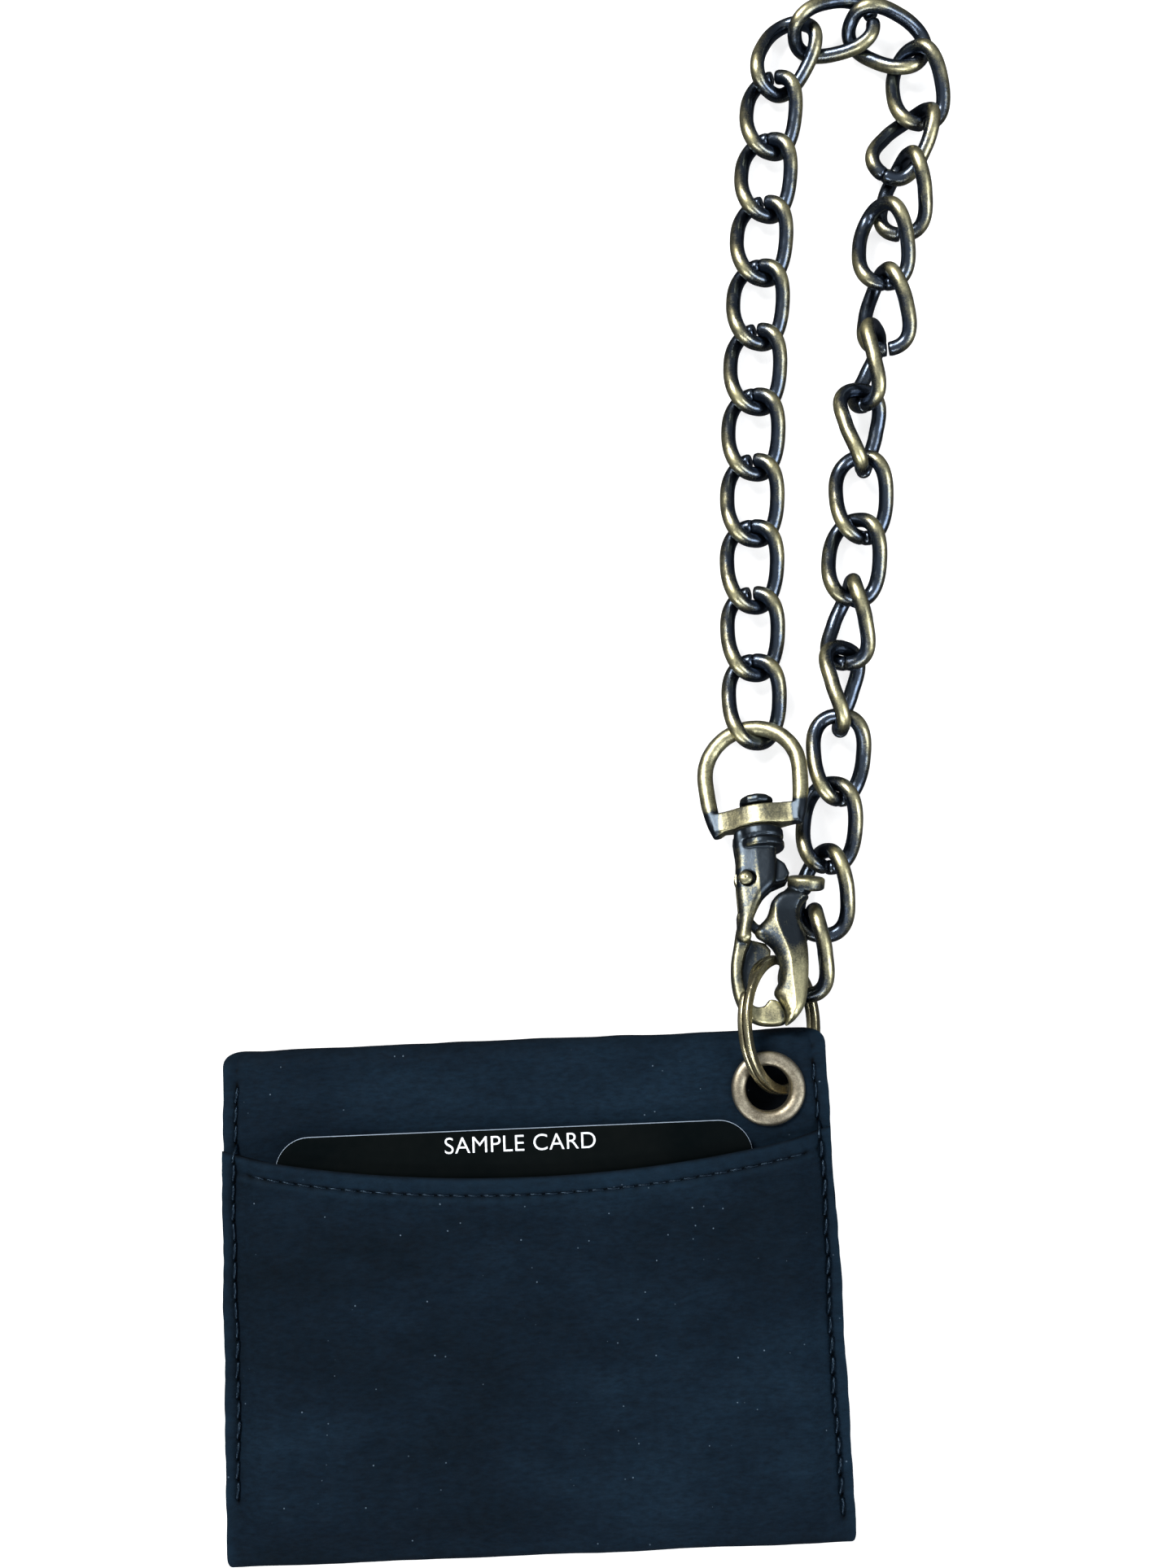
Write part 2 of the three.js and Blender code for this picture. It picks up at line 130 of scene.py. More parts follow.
def smoothstep(lo, hi, x):
    t = np.clip((x - lo) / (hi - lo), 0, 1)
    return t * t * (3 - 2 * t)


def bell(x, width):
    """1 at zero, nearly nothing two widths away."""
    return np.exp(-(x / width) ** 2)


def waves(x, y, seed, scale, octaves=3):
    """Smooth, seeded, sum-of-sines noise in about -1..1."""
    local = np.random.default_rng(seed)
    total = np.zeros(np.broadcast(x, y).shape)
    for octave in range(octaves):
        k = 2 ** octave / scale
        for _ in range(4):
            a, phase, _ = local.uniform(0, 2 * math.pi, 3)
            along = x * math.cos(a) + y * math.sin(a)
            total += np.sin(k * along * 6.28 + phase) / (4 * 1.7 ** octave)
    return total


def graded(stops):
    """Samples along a line: stops are (end, step), the first one (start, None)."""
    out = [stops[0][0]]
    for end, step in stops[1:]:
        n = max(1, round(abs(end - out[-1]) / step))
        out += list(np.linspace(out[-1], end, n + 1)[1:])
    return np.array(out)


# ------------------------------------------------------------------ meshes


def store(mesh, name, values, kind="FLOAT"):
    attribute = mesh.attributes.get(name) or mesh.attributes.new(name, kind, "POINT")
    flat = np.ascontiguousarray(values, np.float32).ravel()
    attribute.data.foreach_set("vector" if kind == "FLOAT_VECTOR" else "value", flat)


def points_mm(mesh):
    co = np.zeros(len(mesh.vertices) * 3)
    mesh.vertices.foreach_get("co", co)
    return co.reshape(-1, 3) / MM


def mesh_from(name, verts, faces):
    mesh = bpy.data.meshes.new(name)
    mesh.from_pydata((np.asarray(verts, float) * MM).tolist(), [], [list(map(int, f)) for f in faces])
    return mesh


def scene_object(name, data):
    obj = bpy.data.objects.new(name, data)
    bpy.context.scene.collection.objects.link(obj)
    return obj


def mesh_piece(name, verts, faces, material, body=None, **attributes):
    mesh = mesh_from(name, verts, faces)
    mesh.validate()
    mesh.polygons.foreach_set("use_smooth", [True] * len(mesh.polygons))
    store(mesh, "rest_mm", verts, "FLOAT_VECTOR")
    for key, values in attributes.items():
        store(mesh, key, values)
    obj = scene_object(name, mesh)
    mesh.materials.append(material)
    if body:
        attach(obj, body)
    return obj


def stand_for(obj, slot_name, *nodes):
    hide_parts(*nodes)


def evaluated_mesh(obj):
    bpy.context.view_layer.update()
    graph = bpy.context.evaluated_depsgraph_get()
    return bpy.data.meshes.new_from_object(obj.evaluated_get(graph))


def grid_faces(rows, cols, wrap_rows=False, wrap_cols=False):
    r = np.arange(rows if wrap_rows else rows - 1)
    c = np.arange(cols if wrap_cols else cols - 1)
    a, b = np.meshgrid(r, c, indexing="ij")
    a2, b2 = (a + 1) % rows, (b + 1) % cols
    quads = np.stack([a * cols + b, a2 * cols + b, a2 * cols + b2, a * cols + b2], -1)
    return quads.reshape(-1, 4)


def loft_faces(rings, n, flip=False):
    """Quads between rings of n points, with a face over each end."""
    ends = [list(range(n)), [(rings - 1) * n + k for k in range(n)]]
    ends[0 if flip else 1].reverse()
    return [list(f) for f in grid_faces(rings, n, wrap_cols=True)] + ends


def tube(path, radius, up, sides=20, chamfer=0.0):
    """Round bar along path; up gives the reference direction. Returns verts, faces and each
    vertex's outward normal."""
    path = np.asarray(path, float)
    n = len(path)
    tangent = np.gradient(path, axis=0)
    tangent /= np.linalg.norm(tangent, axis=1)[:, None]
    side = np.cross(tangent, np.broadcast_to(np.asarray(up, float), path.shape))
    side /= np.linalg.norm(side, axis=1)[:, None]
    top = np.cross(side, tangent)
    radii = np.broadcast_to(np.asarray(radius, float), (n,)).copy()
    radii[[0, -1]] -= chamfer
    angle = np.linspace(0, 2 * math.pi, sides, endpoint=False)
    normal = (np.cos(angle)[None, :, None] * side[:, None, :]
              + np.sin(angle)[None, :, None] * top[:, None, :])
    verts = path[:, None, :] + radii[:, None, None] * normal
    return verts.reshape(-1, 3), loft_faces(n, sides), normal.reshape(-1, 3)


def lathe(profile, centre, axis_z=UP, segments=96):
    """Closed profile of (radius, height) turned about an axis through centre."""
    profile = np.asarray(profile, float)
    z = unit(axis_z)
    x = unit(np.cross([0, 1, 0], z) if abs(z[1]) < 0.9 else np.cross([1, 0, 0], z))
    y = np.cross(z, x)
    angle = np.linspace(0, 2 * math.pi, segments, endpoint=False)
    ring = np.cos(angle)[:, None] * x + np.sin(angle)[:, None] * y
    verts = centre + profile[None, :, :1] * ring[:, None, :] + profile[None, :, 1:] * z
    return verts.reshape(-1, 3), grid_faces(segments, len(profile), True, True)


def principal_axes(node):
    """Centre and axes of a CAD node, longest first, from the spread of its surface."""
    mesh = frame["nodes"][node].data
    centres = np.array([p.center for p in mesh.polygons]) / MM
    area = np.array([p.area for p in mesh.polygons])
    centre = (centres * area[:, None]).sum(0) / area.sum()
    spread = centres - centre
    values, vectors = np.linalg.eigh((spread * area[:, None]).T @ spread)
    return centre, [vectors[:, k] for k in np.argsort(values)[::-1]]


def reach(node, centre, axis):
    """How far a CAD node reaches from centre along an axis, and nearest and furthest from it."""
    co = points_mm(frame["nodes"][node].data) - centre
    radial = np.linalg.norm(co - np.outer(co @ axis, axis), axis=1)
    return np.abs(co @ axis).max(), radial.min(), radial.max()


def wear_from_shape(obj, gain=1.0, passes=24, bias=0.35, tone=0.0):
    """Wear is high on crests and low in hollows: each vertex against a heavily smoothed copy."""
    mesh = obj.data
    n = len(mesh.vertices)
    co = points_mm(mesh)
    edges = np.zeros(len(mesh.edges) * 2, int)
    mesh.edges.foreach_get("vertices", edges)
    edges = edges.reshape(-1, 2)
    degree = np.bincount(edges.ravel(), minlength=n).clip(1)[:, None]
    smooth = co.copy()
    for _ in range(passes):
        total = np.zeros_like(smooth)
        np.add.at(total, edges[:, 0], smooth[edges[:, 1]])
        np.add.at(total, edges[:, 1], smooth[edges[:, 0]])
        smooth = total / degree
    normals = np.zeros(n * 3)
    mesh.vertex_normals.foreach_get("vector", normals)
    proud = ((co - smooth) * normals.reshape(-1, 3)).sum(1)
    # tone, where given, adds a casting's own tones and its painted shade
    store(mesh, "wear", np.clip(bias + gain * proud + tone, 0, 1))


# ------------------------------------------------------------------ materials


def opaque(colour):
    return (*colour, 1) if isinstance(colour, tuple) and len(colour) == 3 else colour


class Nodes:
    """Shorthand for building one node tree."""

    def __init__(self, name):
        self.material = bpy.data.materials.new(name)
        self.material.use_nodes = True
        self.tree = self.material.node_tree
        self.shader = self.tree.nodes["Principled BSDF"]
        self.rest = self.attribute("rest_mm").outputs["Vector"]

    def add(self, kind, **settings):
        node = self.tree.nodes.new(kind)
        for key, value in settings.items():
            setattr(node, key, value)
        return node

    def put(self, socket, value):
        if isinstance(value, bpy.types.NodeSocket):
            self.tree.links.new(value, socket)
        else:
            socket.default_value = value

    def attribute(self, name):
        return self.add("ShaderNodeAttribute", attribute_name=name, attribute_type="GEOMETRY")

    def factor(self, name):
        return self.attribute(name).outputs["Fac"]

    def stretched(self, stretch):
        mapping = self.add("ShaderNodeMapping")
        self.put(mapping.inputs["Vector"], self.rest)
        mapping.inputs["Scale"].default_value = stretch
        return mapping.outputs["Vector"]

    def noise(self, scale, detail=4, rough=0.55, stretch=None, distort=0.0):
        node = self.add("ShaderNodeTexNoise")
        self.put(node.inputs["Vector"], self.stretched(stretch) if stretch else self.rest)
        node.inputs["Scale"].default_value = scale
        node.inputs["Detail"].default_value = detail
        node.inputs["Roughness"].default_value = rough
        node.inputs["Distortion"].default_value = distort
        return node.outputs["Fac"]

    def cell_distance(self, scale):
        node = self.add("ShaderNodeTexVoronoi", feature="F1")
        self.put(node.inputs["Vector"], self.rest)
        node.inputs["Scale"].default_value = scale
        return node.outputs["Distance"]

    def ramp(self, value, *stops):
        node = self.add("ShaderNodeValToRGB")
        self.put(node.inputs["Fac"], value)
        elements = node.color_ramp.elements
        while len(elements) < len(stops):
            elements.new(0.5)
        for element, (position, colour) in zip(elements, stops):
            element.position = position
            if isinstance(colour, (int, float)):
                colour = (colour,) * 3
            element.color = (*colour, 1)
        return node.outputs["Color"]

    def maths(self, operation, a, b=0.0, clamp=False):
        node = self.add("ShaderNodeMath", operation=operation, use_clamp=clamp)
        self.put(node.inputs[0], a)
        self.put(node.inputs[1], b)
        return node.outputs[0]

    def times(self, a, b):
        return self.maths("MULTIPLY", a, b)

    def plus(self, a, b, clamp=False):
        return self.maths("ADD", a, b, clamp)

    def mix(self, factor, a, b, mode="MIX"):
        node = self.add("ShaderNodeMix", data_type="RGBA", blend_type=mode)
        self.put(node.inputs["Factor"], factor)
        self.put(node.inputs[6], opaque(a))
        self.put(node.inputs[7], opaque(b))
        return node.outputs[2]

    def bump(self, height, distance, strength=1.0, normal=None):
        node = self.add("ShaderNodeBump")
        self.put(node.inputs["Height"], height)
        node.inputs["Distance"].default_value = distance * MM
        node.inputs["Strength"].default_value = strength
        if normal is not None:
            self.put(node.inputs["Normal"], normal)
        return node.outputs["Normal"]

    def finish(self, **sockets):
        for key, value in sockets.items():
            name = key.replace("_", " ").title().replace("Ior", "IOR")
            self.put(self.shader.inputs[name], opaque(value))
        return self.material


def srgb(r, g, b):
    return tuple((c / 255 / 12.92) if c <= 10 else ((c / 255 + 0.055) / 1.055) ** 2.4 for c in (r, g, b))


def nubuck(name, dark, mid, light):
    """Oiled nubuck: blotchy, with a short nap, pull-up streaks, dust specks and rubbed rims.
    The rims' lightening also holds a painted sheen beside the pocket's mouth seam, and painted shade darkens
    needle holes, creases, folds and a ring round the eyelet.
    """
    n = Nodes(name)
    blotch = n.noise(0.028, 6, 0.6, stretch=(0.6, 1.3, 1.0))
    nap = n.noise(1.1, 6, 0.7, stretch=(0.55, 1.4, 1.0))
    cloud = n.ramp(blotch, (0.3, dark), (0.5, mid), (0.8, light))
    grain = n.ramp(nap, (0.3, 0.6), (0.7, 1.42))
    colour = n.mix(0.9, cloud, grain, "MULTIPLY")
    scuffs = n.noise(0.16, 6, 0.75, stretch=(0.5, 1.6, 1.0), distort=0.6)
    colour = n.mix(n.ramp(scuffs, (0.58, 0.0), (0.85, 0.3)), colour, light)
    dust = n.ramp(n.cell_distance(0.5), (0.045, 1.0), (0.075, 0.0))
    dust = n.times(dust, n.ramp(n.noise(0.3, 1), (0.52, 0.0), (0.58, 1.0)))
    colour = n.mix(n.times(dust, 0.4), colour, srgb(120, 140, 158))
    # lighter at rubbed rims, plus a painted sheen either side of the pocket's mouth seam
    edge = n.times(n.factor("edge"), n.ramp(n.noise(0.4, 3), (0.3, 0.15), (0.7, 0.65)))
    colour = n.mix(edge, colour, light)
    # painted shade: needle holes, the crease under the pocket's mouth, the folds and a ring round the eyelet
    colour = n.mix(n.factor("shade"), colour, srgb(1, 2, 3))
    rough = n.ramp(n.noise(0.5, 4), (0.25, 0.88), (0.75, 0.7))
    height = n.plus(n.times(n.noise(2.6, 4, 0.7), 0.5), n.times(nap, 0.6))
    normal = n.bump(height, 0.16, 0.55)
    normal = n.bump(n.noise(0.22, 3), 0.35, 0.35, normal)
    return n.finish(base_color=colour, roughness=rough, normal=normal, specular_ior_level=0.05)


def antique(name, dark, mid, bright, wear_bias=0.0, rough=(0.42, 0.26)):
    """Antiqued plating: polished bright where rubbed, left dark in the hollows and where painted shade lowers its
    level.
    rough is for the dark and for the bright."""
    n = Nodes(name)
    # level: real rubbing and patina, with the painted shade that some castings add
    worn_and_shaded = n.plus(n.factor("wear"), wear_bias)
    mottled = n.times(n.maths("SUBTRACT", n.noise(0.35, 5, 0.65), 0.5), 0.9)
    grit = n.times(n.maths("SUBTRACT", n.noise(3.2, 3, 0.7), 0.5), 0.8)
    level = n.plus(n.plus(worn_and_shaded, mottled), grit, clamp=True)
    colour = n.ramp(level, (0.1, dark), (0.42, mid), (0.9, bright))
    smooth = n.ramp(level, (0.1, rough[0]), (0.8, rough[1]))
    scratch = n.noise(2.2, 3, 0.6, stretch=(3.0, 0.25, 1.0))
    normal = n.bump(n.plus(n.noise(1.6, 5, 0.7), n.times(scratch, 0.4)), 0.05, 0.5)
    normal = n.bump(n.noise(0.42, 2), 0.3, 0.22, normal)
    return n.finish(base_color=colour, roughness=smooth, normal=normal, metallic=1.0)


def thread_material():
    n = Nodes("waxed_thread")
    twist = n.noise(2.4, 2, 0.5, stretch=(1.0, 1.0, 2.5))
    colour = n.ramp(twist, (0.35, srgb(0, 2, 5)), (0.7, srgb(5, 14, 24)))
    return n.finish(base_color=colour, roughness=0.32, normal=n.bump(twist, 0.12, 0.8),
                    specular_ior_level=0.3, specular_tint=(0.45, 0.7, 1.0))


def card_material():
    n = Nodes("printed_card")
    face = n.ramp(n.noise(0.05, 3), (0.3, srgb(1, 4, 5)), (0.7, srgb(6, 9, 9)))
    ragged = n.plus(n.factor("rim"), n.times(n.noise(1.4, 3), 0.35))
    rim = n.ramp(ragged, (0.8, 0.0), (0.95, 1.0))
    colour = n.mix(rim, face, srgb(150, 165, 182))
    rough = n.ramp(n.noise(0.6, 4), (0.3, 0.3), (0.7, 0.42))
    return n.finish(base_color=colour, roughness=rough, normal=n.bump(n.noise(2.0, 3), 0.02, 0.4),
                    specular_ior_level=0.04)


def print_material():
    n = Nodes("card_print")
    colour = n.ramp(n.noise(1.5, 3), (0.3, srgb(214, 220, 228)), (0.7, srgb(242, 246, 250)))
    return n.finish(base_color=colour, roughness=0.45)


nubuck_outer = nubuck("nubuck_outer", srgb(3, 10, 17), srgb(6, 17, 27), srgb(15, 31, 44))
nubuck_inner = nubuck("nubuck_inner", srgb(8, 11, 15), srgb(12, 17, 22), srgb(21, 28, 36))
brass_link = antique("antique_brass_chain", srgb(74, 83, 96), srgb(122, 120, 104),
                     srgb(212, 203, 158), -0.02, (0.24, 0.36))
brass_cast = antique("antique_brass_cast", srgb(54, 61, 68), srgb(126, 123, 100),
                     srgb(214, 207, 164), -0.06, (0.38, 0.42))
bronze_ring = antique("bronzed_split_ring", srgb(38, 37, 34), srgb(122, 113, 88),
                      srgb(214, 204, 164))
nickel = antique("worn_nickel", srgb(70, 64, 54), srgb(128, 120, 104),
                 srgb(190, 182, 162), 0.1, (0.55, 0.42))
thread = thread_material()
card_stock = card_material()
card_print = print_material()

# ------------------------------------------------------------------ leather sheets


class Rows:
    """A sheet's points, one row across at a time, with each point's painted shade and how much rubbing and painted
    sheen lighten it.
    """

    def __init__(self):
        self.points, self.shades, self.edges = [], [], []

    def add(self, x, y, z, shade, edge):
        x, y, z, shade, edge = np.broadcast_arrays(x, y, z, shade, edge)
        self.points.append(np.stack([x, y, z], -1))
        self.shades.append(shade)
        self.edges.append(edge)


def sheet_piece(name, rows, material, thickness, bodies, hole=None, bevel=0.38):
    """Leather sheet through the rows; hole is (centre, radius), cut above the centre's height."""
    points = np.array(rows.points)
    faces = grid_faces(*points.shape[:2])
    flat = points.reshape(-1, 3)
    if hole:
        centre, radius = hole
        middle = flat[faces].mean(1)
        near = np.hypot(middle[:, 0] - centre[0], middle[:, 1] - centre[1]) < radius
        faces = faces[~(near & (middle[:, 2] > centre[2]))]
    obj = mesh_piece(name, flat, faces, material, shade=np.array(rows.shades), edge=np.array(rows.edges))
    solid = obj.modifiers.new("thickness", "SOLIDIFY")
    solid.thickness = thickness * MM
    solid.offset = 0
    solid.use_even_offset = True
    rounded = obj.modifiers.new("skived_edge", "BEVEL")
    rounded.width = bevel * MM
    rounded.segments = 3
    rounded.limit_method = "ANGLE"
    rounded.angle_limit = math.radians(50)
    if isinstance(bodies, str):
        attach(obj, bodies)
    else:
        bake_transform(obj)
    return obj


def across_samples(half, border=5.0, fine=0.36, coarse=1.3):
    """Shares from -1 to 1 across a sheet, closer together near its sides."""
    return graded([(-half, None), (-half + border, fine), (half - border, coarse), (half, fine)]) / half


def corner_inset(over):
    """How far a rounded corner draws the side in, over being the way into the corner."""
    over = max(0.0, over)
    return CORNER - math.sqrt(max(CORNER ** 2 - over ** 2, 0))


def fold_bend(depth, count):
    """Shares (outward in mm, up from 1 to -1) round a fold, from its upper end to its lower."""
    power = 0.62
    a = np.linspace(math.pi / 2, -math.pi / 2, count)
    outward = depth * np.cos(a).clip(0) ** power
    up = np.sign(np.sin(a)) * np.abs(np.sin(a)) ** power
    return list(zip(outward, up))[1:]


def seam_pucker(across, along, pitch, hole_length=0.8):
    """How far a seam pulls the leather down, and the painted shade in its needle holes."""
    phase = (along / pitch) % 1.0
    from_hole = np.minimum(phase, 1 - phase) * pitch
    hole = bell(across, 0.55) * bell(from_hole, hole_length)
    pillow = bell(np.abs(across) - 1.3, 0.8) * (0.4 + 0.6 * np.sin(math.pi * phase))
    return 0.2 * bell(across, 0.75) + 0.45 * hole - 0.14 * pillow, hole


def seam_offset(y):
    """The side seams wander a little."""
    return 0.22 * np.sin(y * 0.11) + 0.1 * np.sin(y * 0.43 + 1)


def side_seams(x, y, wander=0.0, ends=False):
    """seam_pucker of both side seams together. With ends, each seam stops at its lowest hole."""
    pull, dark = 0, 0
    for side, first in SEAM_FIRST.items():
        p, h = seam_pucker(x - side * (SEAM_X + wander), y - SEAM_END_Y, SEAM_PITCH)
        end_y = SEAM_END_Y + first * SEAM_PITCH
        keep = smoothstep(end_y - 2, end_y, y) if ends else 1
        pull, dark = pull + p * keep, dark + h * keep
    return pull, dark


def mouth_y(x):
    """The pocket's sagging mouth."""
    return POCKET_MOUTH - POCKET_SAG * (1 - (x / HALF_W) ** 2) ** 0.9


def pocket_height_mid(x, y):
    """Middle of the pocket leather: down on the shell at the glued rim, up over the card."""
    rim = shell_hi[2] + LEATHER / 2 + 0.12
    full = pocket_hi[2] - LEATHER / 2
    rise = (smoothstep(HALF_W - 1.2, HALF_W - 8.5, np.abs(x))
            * smoothstep(PANEL_BOTTOM - 1.5, PANEL_BOTTOM + 7, y))
    return rim + (full - rim) * rise


def pocket_and_cover(shares):
    """Back pocket, bottom fold and front cover: one skin, from the pocket's mouth round under."""
    rows = Rows()
    x_flat = shares * HALF_W
    rim = bell(HALF_W - np.abs(x_flat), RIM_WORN)
    sideways = np.sign(shares) * np.abs(shares) ** 30
    top_y = mouth_y(x_flat)
    for share in graded([(0, None), (8, 0.36), (100, 0.5)]) / 100:
        y = top_y + (PANEL_BOTTOM - top_y) * share
        bulge = 0.45 * smoothstep(14, 10, y) - 0.35 * smoothstep(30, 22, y)
        x = x_flat + sideways * (bulge * (x_flat > 0) + 0.12 * waves(y, 0, 3, 16))
        from_mouth = top_y - y
        pull, dark = side_seams(x, y, seam_offset(y), ends=True)
        mouth_pull, mouth_dark = seam_pucker(from_mouth - MOUTH_SEAM, x, MOUTH_PITCH, 0.62)
        inside = smoothstep(SEAM_X - 0.3, SEAM_X - 1.2, np.abs(x))
        pull, dark = pull + mouth_pull * inside, dark + mouth_dark * inside
        turned = 0.16 * bell(from_mouth - 1.2, 1.1)
        beside = bell(np.abs(from_mouth - MOUTH_SEAM) - 1.0, 0.35) * inside
        # shade: painted shade in the needle holes and in the crease under the mouth; then rubbed rims and mouth,
        # plus a painted sheen either side of the mouth seam
        rows.add(x, y, pocket_height_mid(x, y) + 0.1 * waves(x, y, 5, 30) - pull + turned,
                 np.clip(dark * 1.7, 0, 1) + 0.7 * bell(from_mouth, 0.35),
                 rim + 0.8 * bell(from_mouth - 0.9, 0.7) + 0.8 * beside)

    depth = PANEL_BOTTOM - box_mm("bottom_fold")[0][1] - LEATHER / 2
    cover_mid = cover_lo[2] + LEATHER / 2
    last_x, _, last_z = rows.points[-1].T
    for out, up in fold_bend(depth, 30):
        y = PANEL_BOTTOM - out + 0.12 * waves(x_flat, 0, 11, 25) * (out / depth)
        tuck = 1 - 0.022 * (out / depth) ** 3
        # painted shade deepening round the bottom fold
        rows.add(last_x * tuck, y, (last_z + cover_mid) / 2 + (last_z - cover_mid) / 2 * up,
                 0.10 * (out / depth), rim + 0.25 * bell(up - 0.75, 0.25))

    for y in graded([(PANEL_BOTTOM, None), (cover_hi[1] - 4, 1.4), (cover_hi[1], 0.4)])[1:]:
        x = x_flat * (HALF_W - corner_inset(y - cover_hi[1] + CORNER)) / HALF_W
        pull, dark = side_seams(x, y)
        # painted shade in the side seams' needle holes
        rows.add(x, y, np.maximum(cover_mid + 0.35 * (pull - 0.1), cover_mid),
                 np.clip(dark, 0, 1) * 0.8, rim + bell(cover_hi[1] - y, 1.0))
    return rows


def back_and_flap(shares):
    """Back panel, top fold and inner flap: one skin, from under the pocket round to the flap."""
    rows = Rows()
    x_flat = shares * HALF_W
    rim = bell(HALF_W - np.abs(x_flat), RIM_WORN)
    sideways = np.sign(shares) * np.abs(shares) ** 30
    shell_mid = (shell_lo[2] + shell_hi[2]) / 2
    for y in graded([(PANEL_BOTTOM + 0.6, None), (16, 2.2), (PANEL_TOP, 0.45)]):
        x = x_flat + sideways * 0.1 * waves(y, 0, 4, 16)
        pull, dark = side_seams(x, y, seam_offset(y))
        from_eyelet = np.hypot(x - EYELET[0], y - EYELET[1]) - EYELET_FLANGE
        pull = pull + 0.12 * bell(from_eyelet - 0.3, 1.1)
        # painted shade in the needle holes and in a ring round the eyelet's flange
        rows.add(x, y, shell_mid + 0.06 * waves(x, y, 6, 26) * smoothstep(24, 34, y) - pull * 0.8,
                 np.clip(dark * 1.7, 0, 1) + 0.25 * bell(from_eyelet, 0.6), rim)

    depth = box_mm("top_fold")[1][1] - PANEL_TOP - LEATHER / 2
    flap_mid = (flap_lo[2] + flap_hi[2]) / 2
    narrower = np.where(x_flat < 0, flap_lo[0] - shell_lo[0], flap_hi[0] - shell_hi[0]) * np.abs(shares)
    last_x, _, last_z = rows.points[-1].T
    for out, up in fold_bend(depth, 26):
        y = PANEL_TOP + out + 0.18 * waves(x_flat, 0, 12, 30) * (out / depth)
        tuck = 1 - 0.028 * (out / depth) ** 4
        # painted shade deepening round the top fold
        rows.add(last_x * tuck + narrower * (1 - up) / 2, y,
                 (last_z + flap_mid) / 2 + (last_z - flap_mid) / 2 * up,
                 0.12 * (out / depth), rim + 0.3 * bell(up - 0.8, 0.2))

    centre, half = (flap_lo[0] + flap_hi[0]) / 2, (flap_hi[0] - flap_lo[0]) / 2
    for y in graded([(PANEL_TOP, None), (flap_lo[1] + 4, 1.5), (flap_lo[1], 0.5)])[1:]:
        x = centre + shares * (half - corner_inset(flap_lo[1] + CORNER - y))
        rows.add(x, y, flap_mid, 0, rim + bell(y - flap_lo[1], 1.0))
    return rows


def inner_panel(node, body, material, slot_name, eyelet_hole=False, mouth_seam=False):
    """Lining or card slot: a thin rounded sheet with a soft wave, worn rim and stitched mouth."""
    lo, hi = box_mm(node)
    centre, half = (lo[0] + hi[0]) / 2, (hi[0] - lo[0]) / 2
    shares = across_samples(half, 3.0, 0.5, 2.0)
    rows = Rows()
    for y in graded([(lo[1], None), (lo[1] + CORNER, 0.5), (hi[1] - 5, 1.6), (hi[1], 0.4)]):
        x = centre + shares * (half - corner_inset(max(lo[1] + CORNER - y, y - hi[1] + CORNER)))
        pull, dark = seam_pucker(hi[1] - y - 2.2, x, MOUTH_PITCH) if mouth_seam else (0, 0)
        # painted shade in the mouth seam's needle holes, where there is a seam
        rows.add(x, y, (lo[2] + hi[2]) / 2 - 0.12 * pull + 0.04 * waves(x, y, 21, 35),
                 np.clip(dark, 0, 1) * 0.8, bell(half - np.abs(shares * half), 1.0) + bell(hi[1] - y, 0.8))
    hole = ((EYELET[0], EYELET[1], lo[2] - 1), EYELET_BORE + 1.0) if eyelet_hole else None
    obj = sheet_piece(node + "_sheet", rows, material, (hi[2] - lo[2]) * 0.92, body, hole, bevel=0.2)
    stand_for(obj, slot_name, node)


cover_skin = sheet_piece(
    "pocket_and_cover_leather", pocket_and_cover(across_samples(HALF_W, coarse=0.5)), nubuck_outer, LEATHER,
    ("back_panel", "front_cover", (0, 0, (shell_lo[2] + 1) * MM), (0, 0, (cover_hi[2] + 1.2) * MM)))
stand_for(cover_skin, "leather", "back_pocket", "bottom_fold", "front_cover_leather")

back_skin = sheet_piece(
    "back_and_flap_leather", back_and_flap(across_samples(HALF_W)), nubuck_outer, LEATHER,
    ("back_panel", "inner_flap", (0, 0, (shell_lo[2] - 0.3) * MM), (0, 0, (flap_hi[2] + 0.4) * MM)),
    hole=((EYELET[0], EYELET[1], shell_lo[2] - 1), EYELET_BORE + 1.1))
stand_for(back_skin, "leather", "back_shell", "top_fold", "inner_flap_leather")

inner_panel("front_cover_lining", "front_cover", nubuck_inner, "lining")
inner_panel("inner_flap_lining", "inner_flap", nubuck_inner, "lining")
inner_panel("back_lining", "back_panel", nubuck_inner, "lining", eyelet_hole=True)
CARD_SLOTS = (("front", 2, "front_cover"), ("flap", 2, "inner_flap"), ("centre", 3, "back_panel"))
for prefix, count, body in CARD_SLOTS:
    for number in range(1, count + 1):
        inner_panel(f"{prefix}_card_slot_{number}", body, nubuck_outer, "leather", mouth_seam=True)

# ------------------------------------------------------------------ stitches


def stitch_row(name, holes, radius=0.34, lift=0.2, slant=0.5):
    """Thread between needle holes: each stitch dips into a hole at both ends and leans a little."""
    verts, faces = [], []
    for a, b in zip(holes[:-1], holes[1:]):
        side = unit(np.cross(UP, unit(b - a)))
        lean = slant * (1 + 0.4 * rng.standard_normal())
        t = np.linspace(0.06, 0.94, 9)
        swell = np.sin(math.pi * t)
        path = a + (b - a) * t[:, None] + side * (lean * (0.5 - t))[:, None]
        path[:, 2] += lift * swell ** 0.6 - 0.4 * (1 - swell ** 0.5)
        thickness = radius * (0.65 + 0.35 * swell) * (1 + 0.08 * rng.standard_normal())
        stitch, stitch_faces, _ = tube(path, thickness, UP, sides=8)
        faces += [[k + len(verts) * len(stitch) for k in face] for face in stitch_faces]
        verts.append(stitch)
    obj = mesh_piece(name, np.concatenate(verts), faces, thread, "back_panel")


